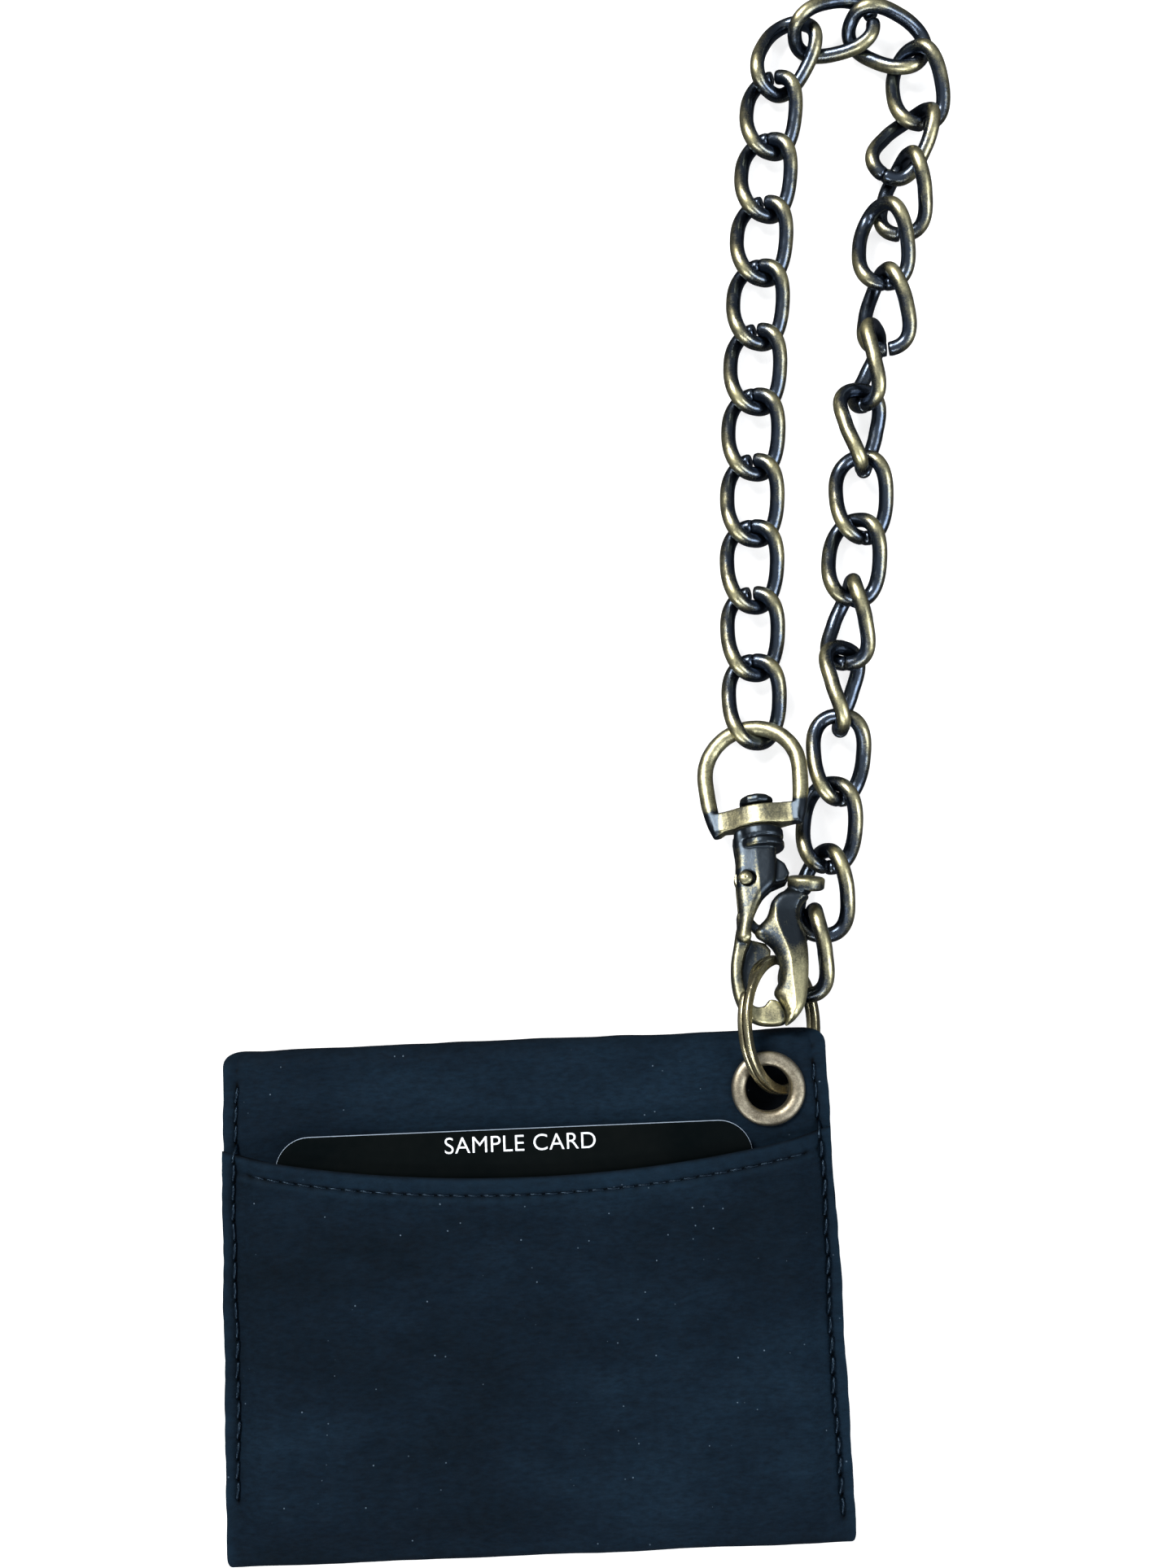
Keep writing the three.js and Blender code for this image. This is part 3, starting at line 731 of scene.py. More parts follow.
def surface_heights(obj):
    """Height of a sheet's outer face at (x, y), read from its own mesh."""
    tree = BVHTree.FromObject(obj, bpy.context.evaluated_depsgraph_get())

    def height(x, y):
        hit = tree.ray_cast(Vector((x * MM, y * MM, 0.1)), Vector((0, 0, -1)))
        return hit[0].z / MM if hit[0] else -math.inf
    return height


bpy.context.view_layer.update()
pocket_height = surface_heights(cover_skin)
shell_height = surface_heights(back_skin)


def side_seam(side):
    """Needle holes of one side seam, from its lower end up to the top of the wallet."""
    last = int((PANEL_TOP - 2.0 - SEAM_END_Y) / SEAM_PITCH)
    holes = []
    for k in range(SEAM_FIRST[side], last + 1):
        y = SEAM_END_Y + k * SEAM_PITCH
        x = side * (SEAM_X + seam_offset(y))
        beside = x - side * 0.9
        holes.append(np.array([x, y, max(pocket_height(beside, y), shell_height(beside, y)) - 0.12]))
    return holes


def mouth_seam_holes():
    """Needle holes under the pocket's mouth, between the side seams."""
    reach_each_way = int((SEAM_X - 1.0) / MOUTH_PITCH)
    holes = []
    for k in range(-reach_each_way, reach_each_way + 1):
        x = k * MOUTH_PITCH
        y = mouth_y(x) - MOUTH_SEAM
        holes.append(np.array([x, y, pocket_height(x, y - 0.9) - 0.16]))
    return holes


stitch_row("left_seam_thread", side_seam(-1))
stitch_row("right_seam_thread", side_seam(1))
stitch_row("pocket_mouth_thread", mouth_seam_holes(), radius=0.2, lift=0.0, slant=0.1)

# ------------------------------------------------------------------ card

CARD_CORNER = 6.0
# the card's section: how far in from its outline, height, and how much of the pale core shows
CARD_RINGS = [(0.2, card_hi[2], 0.0), (0.1, card_hi[2], 0.55), (0.04, card_hi[2] - 0.04, 1.0),
              (0.0, card_hi[2] - 0.15, 1.0), (0.0, card_lo[2] + 0.15, 1.0), (0.1, card_lo[2], 1.0),
              (0.3, card_lo[2], 0.0)]


def rounded_outline(lo, hi, r, inset, height, arc_steps=14):
    """Rounded rectangle drawn in by inset, at a height."""
    corners = [(hi[0] - r, hi[1] - r, 0), (lo[0] + r, hi[1] - r, 90),
               (lo[0] + r, lo[1] + r, 180), (hi[0] - r, lo[1] + r, 270)]
    points = []
    for x, y, start in corners:
        for a in np.radians(np.linspace(start, start + 90, arc_steps)):
            points.append((x + (r - inset) * math.cos(a), y + (r - inset) * math.sin(a), height))
    return np.array(points)


def build_card():
    rings = [rounded_outline(card_lo, card_hi, CARD_CORNER, inset, z) for inset, z, _ in CARD_RINGS]
    n = len(rings[0])
    rim = np.repeat([shown for _, _, shown in CARD_RINGS], n)
    obj = mesh_piece("card", np.concatenate(rings), loft_faces(len(rings), n, flip=True), card_stock,
                     "card", rim=rim)
    for polygon in obj.data.polygons:
        polygon.use_smooth = len(polygon.vertices) == 4
    stand_for(obj, "card_stock", "card_insert")


def build_lettering():
    text = bpy.data.curves.new("card_text", "FONT")
    text.body = "SAMPLE CARD"
    text.align_x = "CENTER"
    text.size = 4.15 * MM
    text.offset = -0.03 * MM
    text.space_character = 1.04
    text.extrude = 0.015 * MM
    holder = scene_object("card_text_curve", text)
    mesh = evaluated_mesh(holder)
    bpy.data.objects.remove(holder)
    mesh.transform(Matrix.Translation((-1.15 * MM, (card_hi[1] - 3.95) * MM, (card_hi[2] + 0.02) * MM)))
    store(mesh, "rest_mm", points_mm(mesh), "FLOAT_VECTOR")
    mesh.materials.clear()
    mesh.materials.append(card_print)
    label = scene_object("card_lettering", mesh)
    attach(label, "card")


build_card()
build_lettering()

# ------------------------------------------------------------------ eyelet


def lathed_piece(name, profile, centre, axis, material, body, node, slot_name, segments=96):
    verts, faces = lathe(profile, centre, axis, segments)
    obj = mesh_piece(name, verts, faces, material, body)
    wear_from_shape(obj, 0.4)
    stand_for(obj, slot_name, node)


def build_eyelet():
    """Domed flange, barrel through the leather, and a rolled lower end over a washer."""
    base = shell_hi[2] + 0.05
    foot = eyelet_lo[2]
    mid, half = (EYELET_FLANGE + EYELET_BORE) / 2, (EYELET_FLANGE - EYELET_BORE) / 2
    dome = [(mid + half * math.cos(a), base + (eyelet_hi[2] - base) * math.sin(a) ** 0.8)
            for a in np.linspace(0, math.pi, 25)]
    barrel = [(EYELET_BORE, z) for z in np.linspace(base - 0.3, foot + 0.3, 8)]
    roll = [(EYELET_BORE + 0.25, foot), (EYELET_BORE + 0.5, foot + 0.1), (EYELET_BORE + 0.5, base - 0.3)]
    centre = (EYELET[0], EYELET[1], 0)
    lathed_piece("eyelet_grommet", dome + barrel + roll, centre, UP, nickel, "back_panel", "eyelet",
                 "antique_nickel")
    lo, hi = box_mm("eyelet_washer")
    inner, outer = EYELET_BORE + 0.55, (hi[0] - lo[0]) / 2
    washer = [(inner, lo[2]), (outer - 0.4, lo[2]), (outer, lo[2] + 0.15), (outer, hi[2]), (inner, hi[2])]
    lathed_piece("eyelet_back_washer", washer, centre, UP, nickel, "back_panel", "eyelet_washer",
                 "antique_nickel")


build_eyelet()

# ------------------------------------------------------------------ split ring


def rounded_section(wide, tall, corner):
    """Rounded rectangle of a flat wire, as (across, along the ring's axis)."""
    section = []
    for sx, sz, start in ((1, 1, 0), (-1, 1, 90), (-1, -1, 180), (1, -1, 270)):
        for a in np.radians(np.linspace(start, start + 90, 6)):
            section.append((sx * (wide / 2 - corner) + corner * math.cos(a),
                            sz * (tall / 2 - corner - 0.02) + corner * math.sin(a)))
    return np.array(section)


def build_split_ring():
    """Two flat coils of one wire, side by side, crossing over once."""
    centre, axes = principal_axes("split_ring")
    normal = axes[2] if axes[2][2] >= 0 else -axes[2]
    x = unit(np.cross([0, 1, 0], normal))
    y = np.cross(normal, x)
    half_axial, inner, outer = reach("split_ring", centre, normal)
    wide, tall = outer - inner, half_axial - 0.03
    radius = (inner + outer) / 2
    section = rounded_section(wide, tall, 0.34)
    turn = np.linspace(0, 4 * math.pi, 240)
    offsets = -tall / 2 + tall * smoothstep(2 * math.pi - 0.55, 2 * math.pi + 0.02, turn)
    cut_at = math.radians(150)
    verts, wear = [], []
    for k, (t, offset) in enumerate(zip(turn, offsets)):
        shrink = 0.75 if k in (0, len(turn) - 1) else 1
        direction = math.cos(t + cut_at) * x + math.sin(t + cut_at) * y
        verts.append(centre + (radius + section[:, :1] * shrink) * direction
                     + (offset + section[:, 1:] * shrink) * normal)
        # painted shade on the faces where the two coils lie against each other
        between_coils = np.abs(section[:, 1] + np.sign(offset) * tall / 2) < 0.12
        wear.append(0.45 + 0.28 * np.abs(section[:, 0]) / (wide / 2) - 0.5 * between_coils)
    obj = mesh_piece("split_ring_coils", np.concatenate(verts), loft_faces(len(turn), len(section)),
                     bronze_ring, "split_ring", wear=np.concatenate(wear))
    stand_for(obj, "antique_brass", "split_ring")


build_split_ring()

# ------------------------------------------------------------------ castings
# Clasp coordinates: x across, y from the hook towards the D-ring, z out of the clasp's face.

clasp_at = np.array(joint("clasp_swivel")["pos_m"]) / MM
clasp_y = unit(joint("clasp_swivel")["axis"])
clasp_z = unit(joint("lever_pivot")["axis"])
clasp_frame = np.column_stack([np.cross(clasp_y, clasp_z), clasp_y, clasp_z])


def from_clasp(points, basis=clasp_frame):
    return clasp_at + np.asarray(points, float) @ basis.T


def to_clasp(points):
    return (np.asarray(points, float) - clasp_at) @ clasp_frame


PIVOT = to_clasp(np.array(joint("lever_pivot")["pos_m"]) / MM)
ON_AXIS = 0.01


def smooth_loop(points, per_side=5):
    """Closed Catmull-Rom curve through the points."""
    p = np.asarray(points, float)
    n = len(p)
    out = []
    for k in range(n):
        p0, p1, p2, p3 = p[k - 1], p[k], p[(k + 1) % n], p[(k + 2) % n]
        for t in np.linspace(0, 1, per_side, endpoint=False):
            out.append(0.5 * ((2 * p1) + (p2 - p0) * t + (2 * p0 - 5 * p1 + 4 * p2 - p3) * t ** 2
                              + (3 * p1 - p0 - 3 * p2 + p3) * t ** 3))
    return np.array(out)


def prism(outline, z0, z1, chamfer=0.5, under=None):
    """Closed prism over an outline, its upper and under edges rounded over."""
    p = np.asarray(outline, float)
    if (p[:, 0] * np.roll(p[:, 1], -1) - np.roll(p[:, 0], -1) * p[:, 1]).sum() < 0:
        p = p[::-1]
    step = np.roll(p, -1, 0) - np.roll(p, 1, 0)
    step /= np.linalg.norm(step, axis=1)[:, None].clip(1e-9)
    inward = np.column_stack([-step[:, 1], step[:, 0]])
    quarter = np.linspace(0, math.pi / 2, 5)
    under = chamfer if under is None else under
    low = [(under * (1 - math.sin(a)), z0 + under * (1 - math.cos(a))) for a in quarter]
    high = [(chamfer * (1 - math.sin(a)), z1 - chamfer * (1 - math.cos(a))) for a in reversed(quarter)]
    rings = [np.column_stack([p + inward * inset, np.full(len(p), z)]) for inset, z in low + high]
    return np.concatenate(rings), loft_faces(len(rings), len(p), flip=True)


def bar(points, radii, sides=16):
    """Round bar with tapering radius through the points, its corners eased."""
    p = np.asarray(points, float)
    t = np.linspace(0, len(p) - 1, 8 * (len(p) - 1) + 1)
    path = np.column_stack([np.interp(t, range(len(p)), p[:, k]) for k in range(3)])
    for _ in range(6):
        path[1:-1] = (path[:-2] + 2 * path[1:-1] + path[2:]) / 4
    radii = np.interp(t, range(len(p)), np.broadcast_to(radii, len(p)))
    return tube(path, radii, (0.01, 0.02, 1), sides)[:2]


def post(r, y0, y1, chamfer=0.3, sides=28):
    """Short round boss on the swivel's axis, along the clasp's length."""
    profile = [(ON_AXIS, y0), (r - chamfer, y0), (r, y0 + chamfer), (r, y1 - chamfer), (r - chamfer, y1),
               (ON_AXIS, y1)]
    return lathe(profile, np.array([SWIVEL_X, 0, 0]), (0, 1, 0), sides)


def pivot_drum(radius, z0, z1, segments=24, shift=(0, 0)):
    """Cylinder round the lever's pivot, or shift away from it."""
    centre = np.array([PIVOT[0] + shift[0], PIVOT[1] + shift[1], 0])
    return lathe([(ON_AXIS, z0), (radius, z0), (radius, z1), (ON_AXIS, z1)], centre, UP, segments)


def casting_mesh(part, label, basis):
    verts, faces = part
    mesh = mesh_from(label, from_clasp(verts, basis), faces)
    bm = bmesh.new()
    bm.from_mesh(mesh)
    bmesh.ops.recalc_face_normals(bm, faces=bm.faces)
    bm.to_mesh(mesh)
    bm.free()
    return mesh


def bake_modifiers(obj):
    mesh = evaluated_mesh(obj)
    obj.modifiers.clear()
    obj.data = mesh
    return mesh


def voxel_remesh(obj, size=0.17):
    modifier = obj.modifiers.new("melt", "REMESH")
    modifier.mode = "VOXEL"
    modifier.voxel_size = size * MM


def melt(name, solids, body, node, tone, cuts, basis=clasp_frame, relief=None):
    """A casting: closed solids in clasp coordinates, fused, trimmed and softened. tone shifts
    each point's level of rubbing and adds painted shade, and relief gives how far each point of the upper face is
    raised."""
    joined = bmesh.new()
    for part in solids:
        joined.from_mesh(casting_mesh(part, f"{name}_part", basis))
    mesh = bpy.data.meshes.new(name)
    joined.to_mesh(mesh)
    joined.free()
    obj = scene_object(name, mesh)
    voxel_remesh(obj)
    bake_modifiers(obj)
    for part in cuts:
        tool = scene_object(f"{name}_cut", casting_mesh(part, f"{name}_cut", basis))
        modifier = obj.modifiers.new("cut", "BOOLEAN")
        modifier.operation = "DIFFERENCE"
        modifier.solver = "EXACT"
        modifier.object = tool
        bake_modifiers(obj)
        bpy.data.objects.remove(tool)
    voxel_remesh(obj)
    soften = obj.modifiers.new("soften", "SMOOTH")
    soften.factor = 0.5
    soften.iterations = 4
    final = bake_modifiers(obj)
    final.name = name
    final.materials.clear()
    final.materials.append(brass_cast)
    final.polygons.foreach_set("use_smooth", [True] * len(final.polygons))
    if relief:
        local = to_clasp(points_mm(final))
        local[:, 2] += relief(local) * smoothstep(0.2, 1.4, local[:, 2])
        final.vertices.foreach_set("co", (from_clasp(local) * MM).ravel())
        final.update()
    co = points_mm(final)
    store(final, "rest_mm", co, "FLOAT_VECTOR")
    wear_from_shape(obj, 1.5, passes=36, bias=0.34, tone=tone(to_clasp(co)))
    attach(obj, body)
    stand_for(obj, "antique_brass", node)


# ------------------------------------------------------------------ clasp and D-ring

HALF_T = 2.2
SWIVEL_X = 0.6
BAND_LO, BAND_HI = 28.9, 32.9
THROUGH = 4

CHEEK = [(-3.9, 28.4), (-4.4, 22.4), (-4.8, 17.8), (-4.9, 11.5), (-5.6, 7.6), (-4.4, 6.2), (-3.0, 7.0),
         (-2.8, 9.0), (-1.8, 11.9), (0.0, 15.0), (2.2, 17.2), (3.0, 20.5), (3.2, 24), (3.0, 28.4)]
NECK = [(-4.2, 22), (2.9, 22), (3.1, 28.2), (-3.8, 28.2)]
HOOK = [(-5.0, 10.5), (-6.3, 6.0), (-7.1, 2.6), (-7.3, -1.2), (-6.8, -4.4), (-5.5, -7.1), (-3.4, -8.7),
        (-0.8, -9.2), (1.5, -9.0), (2.0, -8.0), (1.7, -6.4), (0.8, -4.9), (-0.7, -4.5), (-1.9, -5.6),
        (-3.5, -5.5), (-4.6, -3.8), (-5.1, -1.0), (-5.0, 1.8), (-4.2, 4.6), (-3.0, 7.2), (-3.2, 10.0)]
HOOK_ROOT = [(-5.2, 12), (-5.4, 7.5), (-3.0, 7.4), (-3.4, 9.6), (-4.1, 12)]
BOWL = [(-6.6, -4.6), (-6.6, 3.0), (-5.0, 6.6), (-2.6, 7.6), (-0.2, 6.8), (0.7, 5.4), (0.2, 2.4),
        (-1.8, 0.6), (-3.6, -1.2), (-4.8, -4.0)]
LUG = [(-3, 16.6), (1.7, 16.6), (4.6, 17.7), (5.6, 19.4), (4.8, 21.6), (2.9, 23.1), (-3, 23.2)]
LUG_BOSS = [(1.5, 17.4), (4.4, 17.9), (5.4, 19.4), (4.7, 21.4), (2.9, 22.9), (0.6, 22.8)]
CLAW = [(3.4, 15.6), (1.5, 14.0), (0.9, 12.5), (0.2, 11.0), (-1.1, 9.8), (-2.2, 8.5), (-1.9, 7.3),
        (-0.6, 6.3), (0.7, 4.8), (1.5, 2.6), (1.6, 0.4), (1.2, -1.4), (0.4, -2.7), (0.2, -3.7),
        (0.9, -5.0), (1.6, -6.4), (1.8, -8.0), (1.6, -9.6), (3.2, -8.8), (4.8, -7.1), (5.7, -5.4),
        (6.5, -2.1), (7.1, 2.3), (7.2, 6.2), (6.5, 9.2), (6.3, 11.2), (7.0, 12.9), (8.4, 14.4), (6.4, 15.8)]


def cheek_ridge(y):
    return -0.5 - 1.5 * smoothstep(15.0, 10.5, y)


def claw_ridge(y):
    return 1.8 + 1.9 * smoothstep(11.0, 2.0, y)


def cheek_relief(p):
    """The cheek's outer face falls away on one side of a ridge down its middle."""
    along = smoothstep(6.0, 9.0, p[:, 1]) * smoothstep(28.0, 25.0, p[:, 1])
    return -0.15 * np.maximum(cheek_ridge(p[:, 1]) - p[:, 0], 0) * along


def claw_relief(p):
    """A ridge down the claw, a steep flank on one side of it and a shallow facet on the other."""
    from_ridge = p[:, 0] - claw_ridge(p[:, 1])
    fall = np.where(from_ridge < 0, -0.42 * from_ridge, 0.16 * from_ridge)
    return -np.minimum(fall, 1.3) * smoothstep(14.5, 11.5, p[:, 1])


def body_tone(p):
    """Painted shade past the ridge, in the bowl, round the rivet and on the hook tip next to the claw;
    dark round the swivel, dull bronze down the outer face.
    """
    x, y, _ = p.T
    from_ridge = x - cheek_ridge(y)
    # painted shade on the facet past the ridge
    dark = smoothstep(-0.3, 0.4, from_ridge) * smoothstep(9.5, 12.0, y)
    dark = np.maximum(dark, smoothstep(24.0, 26.0, y) * 0.9)
    # painted shade in the bowl
    bowl = smoothstep(8.0, 5.0, y) * smoothstep(-4.0, -1.5, y) * 0.5
    # painted shade in the groove round the rivet
    groove = bell(np.hypot(x - PIVOT[0], y - PIVOT[1]) - 1.7, 0.4)
    # painted shade on the hook tip next to the claw
    tip = smoothstep(0.6, 1.4, x) * smoothstep(-4.0, -5.5, y)
    face = smoothstep(7.5, 10.0, y) * (0.2 + 0.1 * smoothstep(14.0, 22.0, y))
    return (-0.42 * np.maximum(dark, bowl) - 0.35 * groove - 0.6 * tip + 0.16 * bell(from_ridge + 0.3, 0.35)
            - face + 0.04 + 0.12 * smoothstep(-3.0, -7.0, y))


def lever_tone(p):
    """Dark on the neck, painted shade on the upper facet past the ridge, dull on the flank, bright down the claw's
    back.
    """
    x, y, _ = p.T
    from_ridge = x - claw_ridge(y)
    past = smoothstep(-0.3, 0.5, from_ridge)
    below_disc = smoothstep(17.0, 15.0, y)
    # painted shade on the facet past the ridge
    facet = past * smoothstep(3.5, 7.5, y) * below_disc
    neck = smoothstep(11.0, 13.5, y) * below_disc
    crest = bell(from_ridge + 0.1, 0.35) * smoothstep(13.0, 11.0, y)
    flank = (1 - past) * smoothstep(13.0, 10.5, y) * smoothstep(-5.0, -2.0, y)
    return (-0.42 * np.maximum(facet, neck) + 0.14 * crest + 0.02 - 0.22 * flank
            + 0.4 * past * smoothstep(4.0, -1.0, y) * below_disc)


def d_ring_tone(p):
    """Bright, but dark along the band's top rim, with painted shade on its ends where the band meets the wire."""
    x, y, _ = p.T
    # painted shade where the band's ends meet the wire
    ends = smoothstep(6.4, 7.6, np.abs(x)) * smoothstep(34.0, 32.0, y)
    return 0.14 - 0.3 * bell(y - BAND_HI, 0.8) * smoothstep(9, 6, np.abs(x)) - 0.9 * ends


def build_clasp_body():
    """Forked shank with a hook below, a collar above, and the stem that turns in the band."""
    cheek = smooth_loop(CHEEK)
    solids = [
        prism(cheek, 1.15, HALF_T + 0.5, 1.35, under=0.1),
        prism(cheek, -HALF_T, -1.15, 0.45),
        prism(NECK, -HALF_T, HALF_T, 0.4),
        prism(smooth_loop(HOOK), -HALF_T, 1.1, 0.95),
        prism(HOOK_ROOT, -HALF_T, 2.0, 0.3),
        prism(LUG, -HALF_T, -1.25, 0.4),
        prism(LUG_BOSS, -HALF_T, 1.2, 0.5),
        post(4.5, 24.4, 26.0),
        post(3.9, 25.6, 26.6, 0.1),
        post(4.5, 26.3, 28.3),
        post(1.6, 27, BAND_HI + 1.6, 0.1),
        post(3.3, BAND_HI + 0.35, BAND_HI + 2.2, 0.55, sides=10),
        prism(BOWL, -2.25, -1.7, 0.15),
    ]
    rivet_hole = pivot_drum(1.0, -1.1, THROUGH)
    rivet_seat = pivot_drum(1.5, 1.5, THROUGH, shift=(0.4, -0.2))
    melt("clasp_body_casting", solids, "clasp", "clasp_body", body_tone, [rivet_hole, rivet_seat],
         relief=cheek_relief)


def build_clasp_lever():
    """Claw that closes the hook, an arm back to the pivot, and a neck up to the thumb disc."""
    disc_profile = [(ON_AXIS, -1.2), (2.9, -1.2), (3.45, -0.8), (3.5, 0.9), (3.1, 1.3), (ON_AXIS, 1.15)]
    solids = [
        prism(smooth_loop(CLAW), -0.9, 2.7, 1.5),
        bar([(-1.6, 8.7, 0.1), (-3.3, 10.8, 0), (-3.5, 14, 0), (PIVOT[0], PIVOT[1], 0)], 0.95, 12),
        pivot_drum(2.1, -0.95, 0.95, 28),
        bar([(3.2, 12.8, 0.7), (5.2, 14.9, 0.5), (8.0, 16.9, 0.2)], [1.9, 1.7, 1.8]),
        lathe(disc_profile, np.array([8.3, 17.3, 0.2]), (0.1, 0.9, 0.42), 40),
    ]
    melt("clasp_lever_casting", solids, "clasp_lever", "clasp_lever", lever_tone,
         [pivot_drum(1.3, -THROUGH, THROUGH)], relief=claw_relief)


def build_d_ring():
    """Round wire bent to a D, closed by a flat band that the clasp's stem turns in."""
    _, axes = principal_axes("swivel_d_ring")
    normal = axes[2] * np.sign(axes[2] @ clasp_z)
    across = unit(np.cross(clasp_y, normal))
    basis = np.column_stack([across, clasp_y, np.cross(across, clasp_y)])
    half_w, centre_y, r = 9.3, 40.4, 1.55
    left = [(-7.4, 28.4, 0), (-8.3, 31.0, 0), (-9.0, 35.0, 0)]
    right = [(-x, y + 0.5, z) for x, y, z in reversed(left)]
    crown = [(half_w * math.cos(a), centre_y + half_w * math.sin(a), 0) for a in np.linspace(math.pi, 0, 13)]
    wire = np.array(left + crown + right) + [SWIVEL_X - 0.2, 0, 0]
    radii = [1.25, 1.4, r] + [r] * len(crown) + [r, 1.4, 1.25]
    band_x = np.linspace(-7.9, 8.7, 17)
    lens = [(x, 1.35 + 1.75 * math.cos(math.pi * (x - SWIVEL_X) / 15) ** 2) for x in band_x]
    band, faces = prism(lens + [(x, -z) for x, z in reversed(lens)], BAND_LO, BAND_HI, 0.3)
    band = band[:, [0, 2, 1]]
    hole = post(1.9, BAND_LO - 2, BAND_HI + 2, 0.05)
    melt("d_ring_casting", [bar(wire, radii, 20), (band, faces)], "loop_base", "swivel_d_ring",
         d_ring_tone, [hole], basis=basis)


def build_rivet():
    """Domed head over a narrower shank, on the lever's pivot."""
    lo, hi = box_mm("lever_rivet")
    centre = (lo + hi) / 2
    half, _, flange = reach("lever_rivet", centre, clasp_z)
    head = flange * 0.8
    shank = head - 0.45
    foot, crown = -half + 0.3, half - 0.35
    dome = [(head * math.sin(a), crown - 0.75 * (1 - math.cos(a))) for a in np.linspace(math.pi / 2, 0.3, 8)]
    profile = [(ON_AXIS, foot), (shank, foot), (shank, crown - 0.8)] + dome + [(ON_AXIS, crown)]
    lathed_piece("lever_rivet_peened", profile, centre, clasp_z, brass_cast, "clasp", "lever_rivet",
                 "antique_brass", 40)


build_clasp_body()
build_clasp_lever()
build_d_ring()
build_rivet()

# ------------------------------------------------------------------ chain

LINK_NODES = sorted(n for n in frame["nodes"] if n.startswith("chain_link_"))
BODY_OF = {n: body for body, nodes in frame["record"]["behaviour"]["bodies"].items() for n in nodes}
link_poses = {n: principal_axes(n) for n in LINK_NODES}


def wire_loop_size(node):
    """Half length and half width of a link's wire centre, from its CAD solid."""
    centre, (along, across, _) = link_poses[node]
    return reach(node, centre, along)[0] - 1.3, reach(node, centre, across)[0] - 1.2


PATH_L, PATH_W = wire_loop_size(LINK_NODES[0])
WIRE_R = 1.45
WIRE_SIDES = 22
TWIST = 1.75
FULLNESS = 0.86
# width of the saw cut in each second link, before and after the chain's turn, and in the others
CUT_LEFT, CUT_RIGHT, CUT_CLOSED = 0.7, 0.25, 0.06
LAST_FLAT_LINK = 12


def saw_cut(index):
    if index % 2 == 0:
        return CUT_CLOSED
    return CUT_LEFT if index < LAST_FLAT_LINK else CUT_RIGHT


def fuller(wave):
    """A cosine or sine pushed out towards a squarer oval."""
    return np.sign(wave) * np.abs(wave) ** FULLNESS


def build_link(index, node):
    """One curb link: an oval of wire, twisted out of its plane, ending either side of its cut."""
    centre, (y, x, _) = link_poses[node]
    ahead = min(index + 1, len(LINK_NODES) - 1)
    travel = link_poses[LINK_NODES[ahead]][0] - link_poses[LINK_NODES[ahead - 1]][0]
    y = y * np.sign(y @ travel)
    basis = np.column_stack([x, y, np.cross(x, y)])
    gap = saw_cut(index) / (2 * PATH_W)
    a = np.linspace(math.pi / 2 + gap, 5 * math.pi / 2 - gap, 96)
    local = np.column_stack([PATH_W * fuller(np.cos(a)), PATH_L * fuller(np.sin(a)), TWIST * np.sin(2 * a)])
    verts, faces, normals = tube(centre + local @ basis.T, WIRE_R, basis[:, 2], WIRE_SIDES, chamfer=0.12)
    outward = np.repeat(local * [1, 1, 0], WIRE_SIDES, axis=0)
    outward /= np.linalg.norm(outward, axis=1)[:, None].clip(0.1)
    facing = normals @ basis
    crest = np.repeat(np.sin(2 * a), WIRE_SIDES) * facing[:, 2]
    rubbed = smoothstep(-0.25, 0.95, 0.55 * crest + 0.6 * (facing * outward).sum(1))
    bare = smoothstep(0.2, 0.75, np.abs(np.repeat(local[:, 0], WIRE_SIDES)) / PATH_W)
    wear = 0.05 + 0.85 * rubbed * (0.25 + 0.75 * bare)
    obj = mesh_piece(node + "_wire", verts, faces, brass_link, BODY_OF[node], wear=wear)
    stand_for(obj, "antique_brass", node)


for link_index, link_node in enumerate(LINK_NODES):
    build_link(link_index, link_node)

# ------------------------------------------------------------------ floor, light, camera

WHITE = (1.0, 1.0, 1.0)


def floor():
    """Pale floor that glows a little, so that it stays pale in low views."""
    n = Nodes("pale_floor")
    cloud = n.add("ShaderNodeTexNoise")
    n.put(cloud.inputs["Vector"], n.add("ShaderNodeTexCoord").outputs["Object"])
    cloud.inputs["Scale"].default_value = 3.0
    colour = n.ramp(cloud.outputs["Fac"], (0.3, 0.38), (0.7, 0.4))
    material = n.finish(base_color=colour, roughness=0.9, emission_color=WHITE, emission_strength=0.78)
    size = 3.0
    mesh = bpy.data.meshes.new("floor")
    corners = [(-size, -size, 0), (size, -size, 0), (size, size, 0), (-size, size, 0)]
    mesh.from_pydata(corners, [], [(0, 1, 2, 3)])
    mesh.materials.append(material)
    plane = scene_object("floor", mesh)
    plane.location = (0, 0, cad_box[0][2] - 0.05 * MM)
    plane.visible_glossy = False


def backdrop():
    """A pale dome round the scene, seen by the camera and by nothing else."""
    n = Nodes("pale_backdrop")
    material = n.finish(base_color=(0.0, 0.0, 0.0), emission_color=WHITE, emission_strength=0.95)
    bm = bmesh.new()
    bmesh.ops.create_uvsphere(bm, u_segments=48, v_segments=24, radius=4.5)
    mesh = bpy.data.meshes.new("backdrop")
    bm.to_mesh(mesh)
    bm.free()
    mesh.materials.append(material)
    dome = scene_object("backdrop", mesh)
    for rays in ("diffuse", "glossy", "transmission", "volume_scatter", "shadow"):
        setattr(dome, f"visible_{rays}", False)


def area_light(name, location, size, power, colour):
    data = bpy.data.lights.new(name, "AREA")
    data.shape = "RECTANGLE"
    data.size, data.size_y = size
    data.energy = power
    data.color = colour
    lamp = scene_object(name, data)
    lamp.location = location
    target = Vector((0.02, 0.1, 0))
    lamp.rotation_euler = (target - Vector(location)).to_track_quat("-Z", "Y").to_euler()


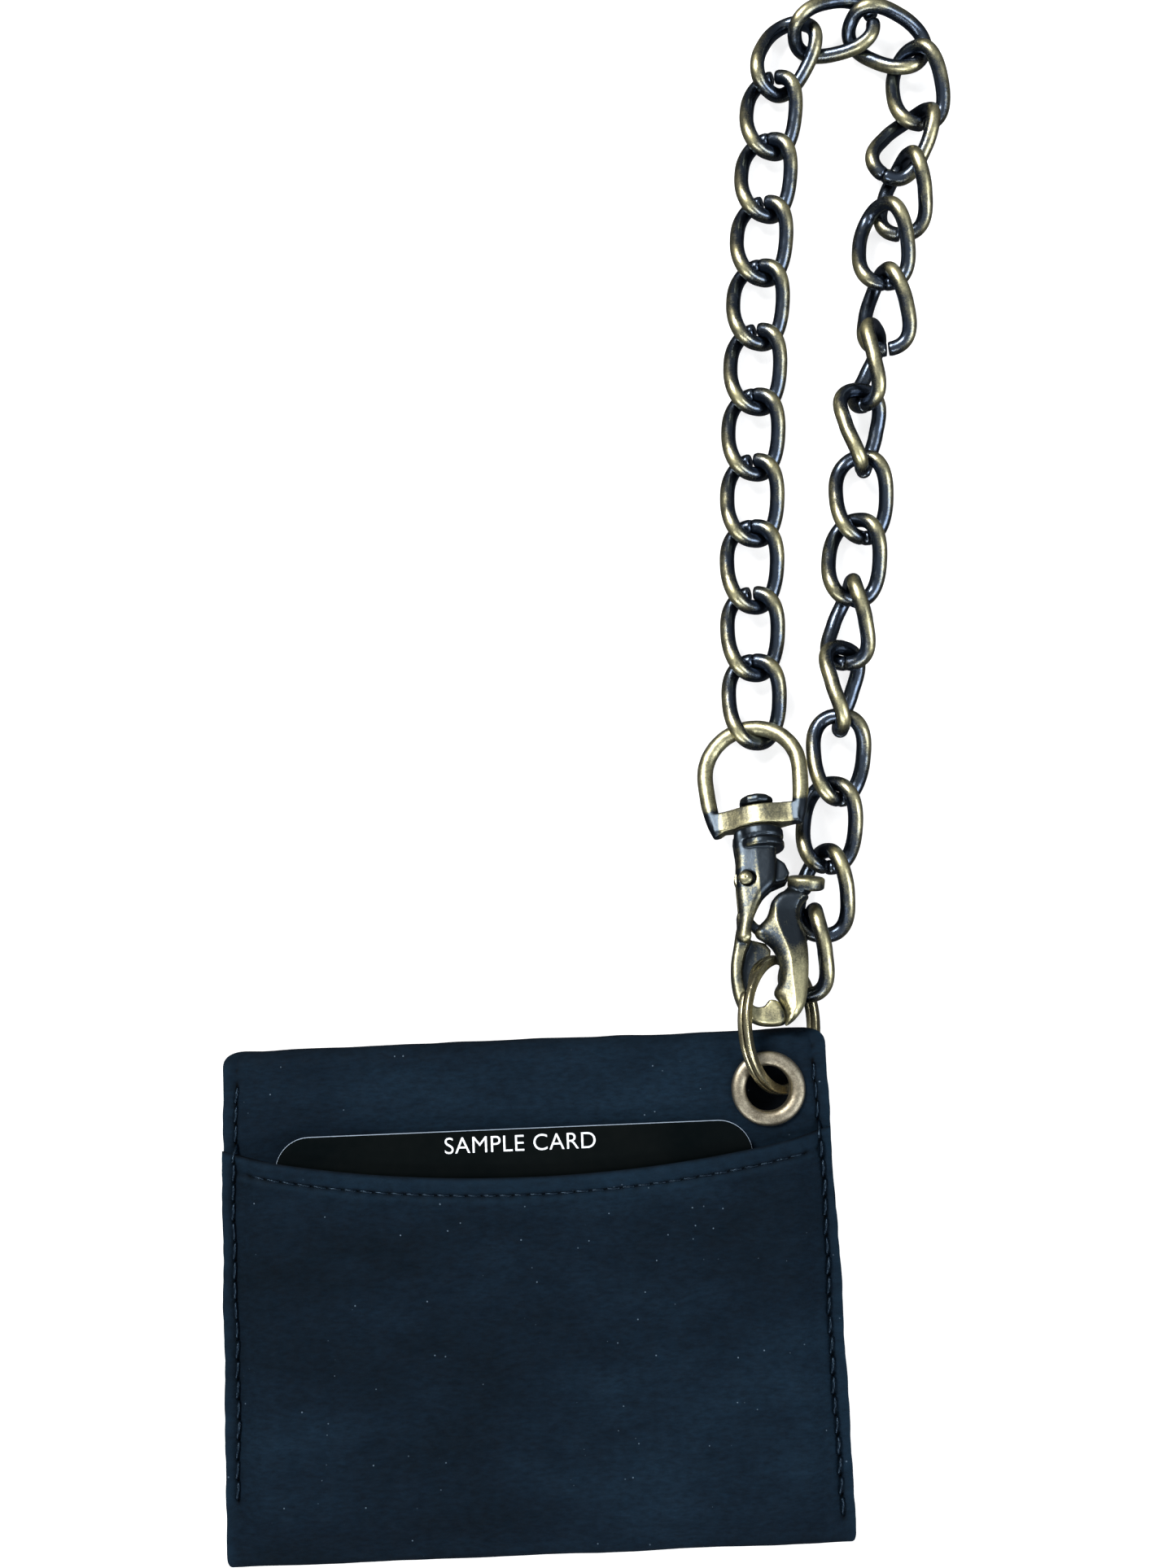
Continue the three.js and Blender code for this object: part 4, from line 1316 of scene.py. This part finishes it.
def sky():
    """Soft surroundings, grey at the horizon and pale overhead."""
    world = bpy.data.worlds.new("studio")
    world.use_nodes = True
    tree = world.node_tree
    background = tree.nodes["Background"]
    direction = tree.nodes.new("ShaderNodeTexCoord")
    split = tree.nodes.new("ShaderNodeSeparateXYZ")
    shades = tree.nodes.new("ShaderNodeValToRGB")
    tree.links.new(direction.outputs["Generated"], split.inputs["Vector"])
    tree.links.new(split.outputs["Z"], shades.inputs["Fac"])
    tree.links.new(shades.outputs["Color"], background.inputs["Color"])
    low, high = shades.color_ramp.elements
    low.position, low.color = 0.0, (0.12, 0.13, 0.15, 1)
    high.position, high.color = 1.0, (0.86, 0.93, 1.0, 1)
    middle = shades.color_ramp.elements.new(0.55)
    middle.color = (0.36, 0.39, 0.43, 1)
    background.inputs["Strength"].default_value = 0.6
    bpy.context.scene.world = world


VIEW_HEIGHT_PX = 1927
FOCAL_PX = 2030
SENSOR = 24
TILT, ROLL = math.radians(7.5), math.radians(-2.41)
CAMERA_MM = (13.69, 49.93, 320.31)


def camera():
    """Nearly overhead, tipped towards the chain and turned a little."""
    data = bpy.data.cameras.new("camera")
    data.sensor_fit = "VERTICAL"
    data.sensor_height = SENSOR
    data.sensor_width = SENSOR
    data.lens = FOCAL_PX / VIEW_HEIGHT_PX * SENSOR
    data.clip_start = 0.01
    forward = Vector((0, math.sin(TILT), -math.cos(TILT)))
    level_up = Vector((0, math.cos(TILT), math.sin(TILT)))
    level_right = Vector((1, 0, 0))
    right = math.cos(ROLL) * level_right + math.sin(ROLL) * level_up
    up = -math.sin(ROLL) * level_right + math.cos(ROLL) * level_up
    turn = Matrix((right, up, -forward)).transposed().to_4x4()
    cam = scene_object("camera", data)
    cam.matrix_world = Matrix.Translation(Vector(CAMERA_MM) * MM) @ turn
    bpy.context.scene.camera = cam


floor()
backdrop()
sky()
area_light("key", (-0.55, 0.75, 0.95), (0.5, 0.35), 24, (1.0, 0.98, 0.95))
area_light("fill", (0.85, -0.25, 0.8), (0.4, 0.7), 9, (0.92, 0.96, 1.0))
area_light("strip", (-0.2, -0.75, 0.6), (0.9, 0.18), 7, (0.95, 0.98, 1.0))
camera()
bpy.context.scene.view_settings.view_transform = "Standard"
